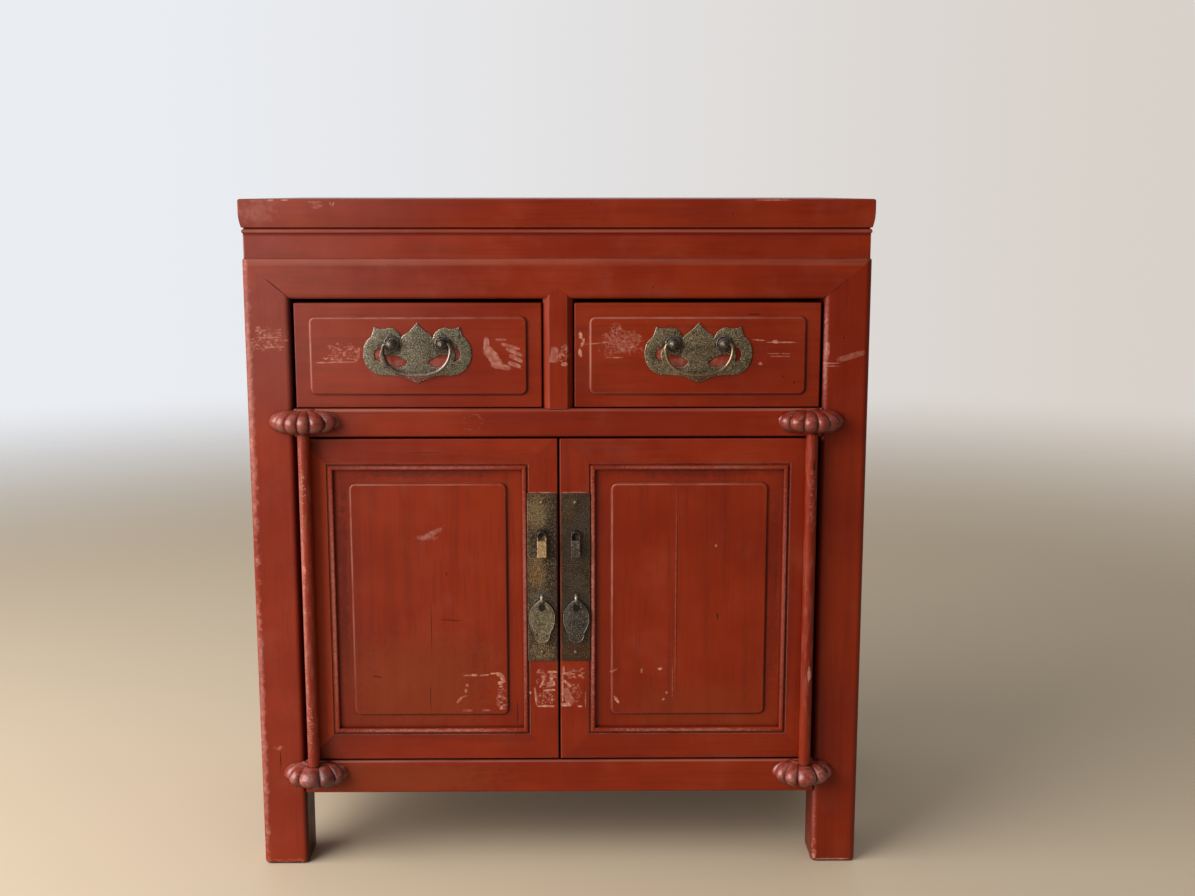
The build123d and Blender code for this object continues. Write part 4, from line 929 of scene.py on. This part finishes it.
def make_posts(side, metal):
    """Two turned posts with a ringed foot and a domed head."""
    axis = hinge_point(f"{side}_bail_hinge")
    plate_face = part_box(f"{side}_bail_plate")[0].y
    bm = bmesh.new()
    for end in (-1, 1):
        foot = Vector((axis.x + end * BAIL_SPAN / 2 * MM, plate_face, axis.z))
        turned(bm, foot, POST_PROFILE)
    add_piece(f"{side}_bail_knobs", bm, f"{side}_drawer", metal, f"{side}_bail_posts")


def rounded_copy(name, node, body, material, width):
    """A copy of a CAD plate whose sharp edges are worn round."""
    bm = bmesh.new()
    bm.from_mesh(NODES[node].data)
    bmesh.ops.remove_doubles(bm, verts=bm.verts, dist=1e-6)
    bmesh.ops.dissolve_limit(bm, angle_limit=radians(1), verts=bm.verts, edges=bm.edges)
    sharp = [edge for edge in bm.edges
             if len(edge.link_faces) == 2 and edge.calc_face_angle(0) > radians(35)]
    bmesh.ops.bevel(bm, geom=sharp, offset=width * MM, segments=2, profile=0.6, affect="EDGES",
                    clamp_overlap=True)
    bmesh.ops.triangulate(bm, faces=[face for face in bm.faces if len(face.verts) > 4])
    add_piece(name, bm, body, material, node, crease=50)


# ---- pendants ----
# half outline from the apex to the tip: x and distance below the hinge axis
PENDANT_OUTLINE = [(0, 1.0), (3.2, 2.4), (6.4, 5.0), (9.4, 7.8), (12.0, 11.0), (14.3, 15.4),
                   (15.6, 20.0), (15.8, 25.0), (15.4, 30.0), (14.0, 35.5), (11.7, 40.2),
                   (9.8, 43.6), (9.6, 46.0), (9.2, 48.8), (7.6, 52.2), (4.4, 55.0), (0, 56.0)]
PENDANT_RIM = 1.4
PENDANT_INSET = 9.2
PENDANT_HOLE_RADIUS = 1.95


def pendant_height(x, drop, inset, step_arc):
    """How far the face stands in front of the leaf's middle plane, in mm."""
    thick = 0.9
    if inset < 0.5:
        return thick - (0.5 - inset) * 0.9
    rim = 0.34 * max(0.0, 1 - abs(inset - 0.9) / 0.5)
    crown = -0.25 + min(1.0, inset / 7.0) * 0.25
    step = 0.0
    if step_arc:
        arc = 24.0 - 0.030 * x * x - drop
        step = -0.45 * max(0.0, 1 - abs(arc) / 0.7) - (0.16 if arc < 0 else 0.0)
    return thick + rim + crown + step


def pendant_rows(axis, outline, step_arc):
    """Rings of points of the front and of the back, from the outline in to the hole."""
    hole = Vector((0, -PENDANT_HOLE_DROP))
    least = PENDANT_HOLE_RADIUS + 0.05
    insets = [0, 0.2, 0.5, 0.9, PENDANT_RIM]
    insets += [PENDANT_RIM + 0.6 * i for i in range(1, 14)]
    # inset that sets the height, inset that sets the place, share of the rest of the way in
    steps = [(inset, inset, 0.0) for inset in insets]
    steps += [(PENDANT_INSET, insets[-1], i / 24) for i in range(1, 25)]
    fronts, backs = [], []
    for inset, moved, share in steps:
        front, back = [], []
        for point in outline:
            ray = point - hole
            start = max(ray.length - moved, least)
            spot = hole + ray.normalized() * (start + (PENDANT_HOLE_RADIUS - start) * share)
            rise = pendant_height(spot.x, -spot.y, inset, step_arc)
            front.append(axis + mm(spot.x, -rise, spot.y))
            back.append(axis + mm(spot.x, 0.9 - (0.5 - min(inset, 0.5)) * 0.6, spot.y))
        fronts.append(front)
        backs.append(back)
    return fronts, backs


def make_pendant(side, metal):
    """Leaf-shaped drop with a fine rim, pierced for its ring."""
    axis = hinge_point(f"{side}_pendant_hinge")
    half = smooth_path([Vector((x, -drop)) for x, drop in PENDANT_OUTLINE], 5)
    outline = half + [Vector((-point.x, point.y)) for point in reversed(half[1:-1])]
    fronts, backs = pendant_rows(axis, outline, side == "right")
    bm = bmesh.new()
    rings = skin(bm, list(reversed(backs)) + fronts, capped=False)
    for i in range(len(outline)):
        j = (i + 1) % len(outline)
        bm.faces.new((rings[-1][i], rings[-1][j], rings[0][j], rings[0][i]))
    bmesh.ops.remove_doubles(bm, verts=bm.verts, dist=2e-6)
    add_piece(f"{side}_pendant_leaf", bm, f"{side}_pendant", metal, f"{side}_pendant", crease=40)


def make_eye(side, metal):
    """Ring of flattened wire that the pendant hangs on, with its tang in the stile."""
    axis = hinge_point(f"{side}_pendant_hinge")
    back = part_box(f"{side}_pendant_eye")[1].y
    radius, half_wide, half_thick, sides = 5.0, 1.8, 1.0, 16
    bm = bmesh.new()
    rings = []
    for i in range(48):
        turn = tau * i / 48
        outward = Vector((0, sin(turn), cos(turn)))
        centre = axis + radius * MM * outward
        rings.append([centre + mm(half_wide * cos(tau * k / sides), 0, 0)
                      + half_thick * MM * sin(tau * k / sides) * outward for k in range(sides)])
    skin(bm, rings + rings[:1], capped=False)
    bmesh.ops.remove_doubles(bm, verts=bm.verts, dist=1e-6)
    tang_radius = 1.3
    turned(bm, axis, [(tang_radius, -radius), (tang_radius, (axis.y - back) / MM)], sides)
    add_piece(f"{side}_pendant_loop", bm, f"{side}_door", metal, f"{side}_pendant_eye")


def make_pendant_rivet(metal):
    """Small rivet low on the left pendant."""
    axis = hinge_point("left_pendant_hinge")
    bm = bmesh.new()
    profile = [(0.2, -0.6), (1.5, -0.6), (1.5, 0.1), (1.2, 0.6), (0.6, 0.9), (0.1, 0.95)]
    turned(bm, axis + mm(5.2, -0.8, -46.4), profile, 20)
    add_piece("left_pendant_rivet", bm, "left_pendant", metal)


def make_metalwork():
    for seed, side in enumerate(SIDES):
        bail = aged_metal(f"{side}_bail", f"{side}_bail", 21 + seed, grit=0.15, edge_width=0.05,
                          shine=0.85, smooth=0.16)
        bat = aged_metal(f"{side}_bat", f"{side}_bat", 31 + seed, edge_width=1.0)
        posts = aged_metal(f"{side}_posts", "posts", 41 + seed, grit=0.5, edge_width=0.4, shine=0.6)
        tone = "gilt" if side == "left" else "steel"
        staple = aged_metal(f"{side}_lock_staple", tone, 51 + seed)
        leaf = aged_metal(f"{side}_pendant", f"{side}_leaf", 61 + seed, 0.8)
        make_bail(side, bail)
        make_posts(side, posts)
        rounded_copy(f"{side}_bail_plate_worn", f"{side}_bail_plate", f"{side}_drawer", bat, 0.35)
        rounded_copy(f"{side}_staple_worn", f"{side}_lock_staple", f"{side}_door", staple, 0.4)
        make_pendant(side, leaf)
        make_eye(side, aged_metal(f"{side}_pendant_eye", "silver", 81 + seed, grit=0.3,
                                  edge_width=0.4, shine=0.7, smooth=0.26))
    make_pendant_rivet(aged_metal("rivet", "nail", 71, 0.4))


# ---- stage: camera, lights, surroundings, floor ----
def make_camera():
    data = bpy.data.cameras.new("camera")
    data.sensor_width = SENSOR
    data.lens = FOCAL_PIXELS / PHOTO_WIDTH * SENSOR
    camera = show("camera", data)
    camera.location = mm(*CAMERA_PLACE)
    camera.rotation_euler = (radians(90 + CAMERA_PITCH), 0, radians(CAMERA_YAW))
    bpy.context.scene.camera = camera


def make_light():
    """One large soft light, from the left and in front."""
    data = bpy.data.lights.new("window", "AREA")
    data.shape = "RECTANGLE"
    data.size, data.size_y = LIGHT_SIZE
    data.energy = LIGHT_POWER
    data.color = (1.0, 0.99, 0.98)
    light = show("window", data)
    light.location = LIGHT_PLACE
    toward = Vector(LIGHT_TARGET) - Vector(LIGHT_PLACE)
    light.rotation_euler = toward.to_track_quat("-Z", "Y").to_euler()


def make_world():
    """Soft room light, dim near the floor, and a pale wall behind, brighter on the left."""
    world = bpy.data.worlds.new("studio")
    bpy.context.scene.world = world
    g = Graph(world, "Generated")
    ahead = g.axis(g.place, "Y")
    up = g.axis(g.place, "Z")
    front = g.ramp(g.axis(g.place, "X"), -0.30, 0.30, 0.55, 0.16)
    behind = g.ramp(ahead, -0.5, 0.3)
    room = g.mix_number(behind, front, 0.46)
    low = g.mix_number(behind, 0.55, 0.06)
    path = g.add("LightPath")
    seen = g.larger(path.outputs["Is Camera Ray"], path.outputs["Is Glossy Ray"])
    seen = g.larger(seen, path.outputs["Is Transmission Ray"])
    undimmed = g.larger(seen, g.ramp(up, 0.0, 0.42))
    room = g.times(room, g.mix_number(undimmed, low, 1.0))
    level = g.math("ADD", room, g.ramp(up, 0.3, 1.0, 0.0, 0.15))
    wall = g.times(g.ramp(ahead, 0.62, 0.84), seen)
    across = g.ramp(g.axis(g.place, "X"), -0.35, 0.45)
    pale = g.mix(across, paint(234, 237, 242), paint(216, 208, 200))
    background = g.add("Background")
    g.put(background.inputs["Color"], g.mix(wall, paint(240, 238, 234), pale))
    g.put(background.inputs["Strength"], g.mix_number(wall, level, 1.0))
    g.put(g.add("OutputWorld").inputs["Surface"], background.outputs[0])


def make_floor():
    """Pale floor that fades out far from the object, painted darker near the window lamp as painted
    shade.
    """
    bm = bmesh.new()
    bmesh.ops.create_circle(bm, cap_ends=True, segments=96, radius=5.0)
    mesh = bpy.data.meshes.new("floor")
    bm.to_mesh(mesh)
    bm.free()
    g = Finish("floor")
    far = g.ramp(g.length(g.place), 1.6, 4.6)
    soft = g.ramp(g.noise(g.place, 3.0, 3), 0.3, 0.7, 0.0, 0.06)
    colour = g.mix(soft, paint(202, 184, 158), paint(186, 168, 142))
    # Painted shade: the floor is painted darker near the window lamp.
    near_window_shade = g.ramp(g.length(g.local(mm(-1500, -1200, 0), (1, 1, 1))), 1.3, 0.3, 0.0, 0.7)
    colour = g.mix(near_window_shade, colour, paint(118, 106, 90))
    g.close(colour, 0.6, g.bump(g.noise(g.place, 60.0, 2), 0.1 * MM))
    blend = g.add("MixShader")
    g.put(blend.inputs[0], far)
    g.put(blend.inputs[1], g.shader.outputs[0])
    g.put(blend.inputs[2], g.add("BsdfTransparent").outputs[0])
    g.put(g.output.inputs["Surface"], blend.outputs[0])
    mesh.materials.append(g.owner)
    show("floor", mesh)


def main():
    make_camera()
    dress_cad_nodes()
    make_bosses()
    make_metalwork()
    make_light()
    make_world()
    make_floor()
    bpy.context.scene.view_settings.view_transform = "Standard"


main()
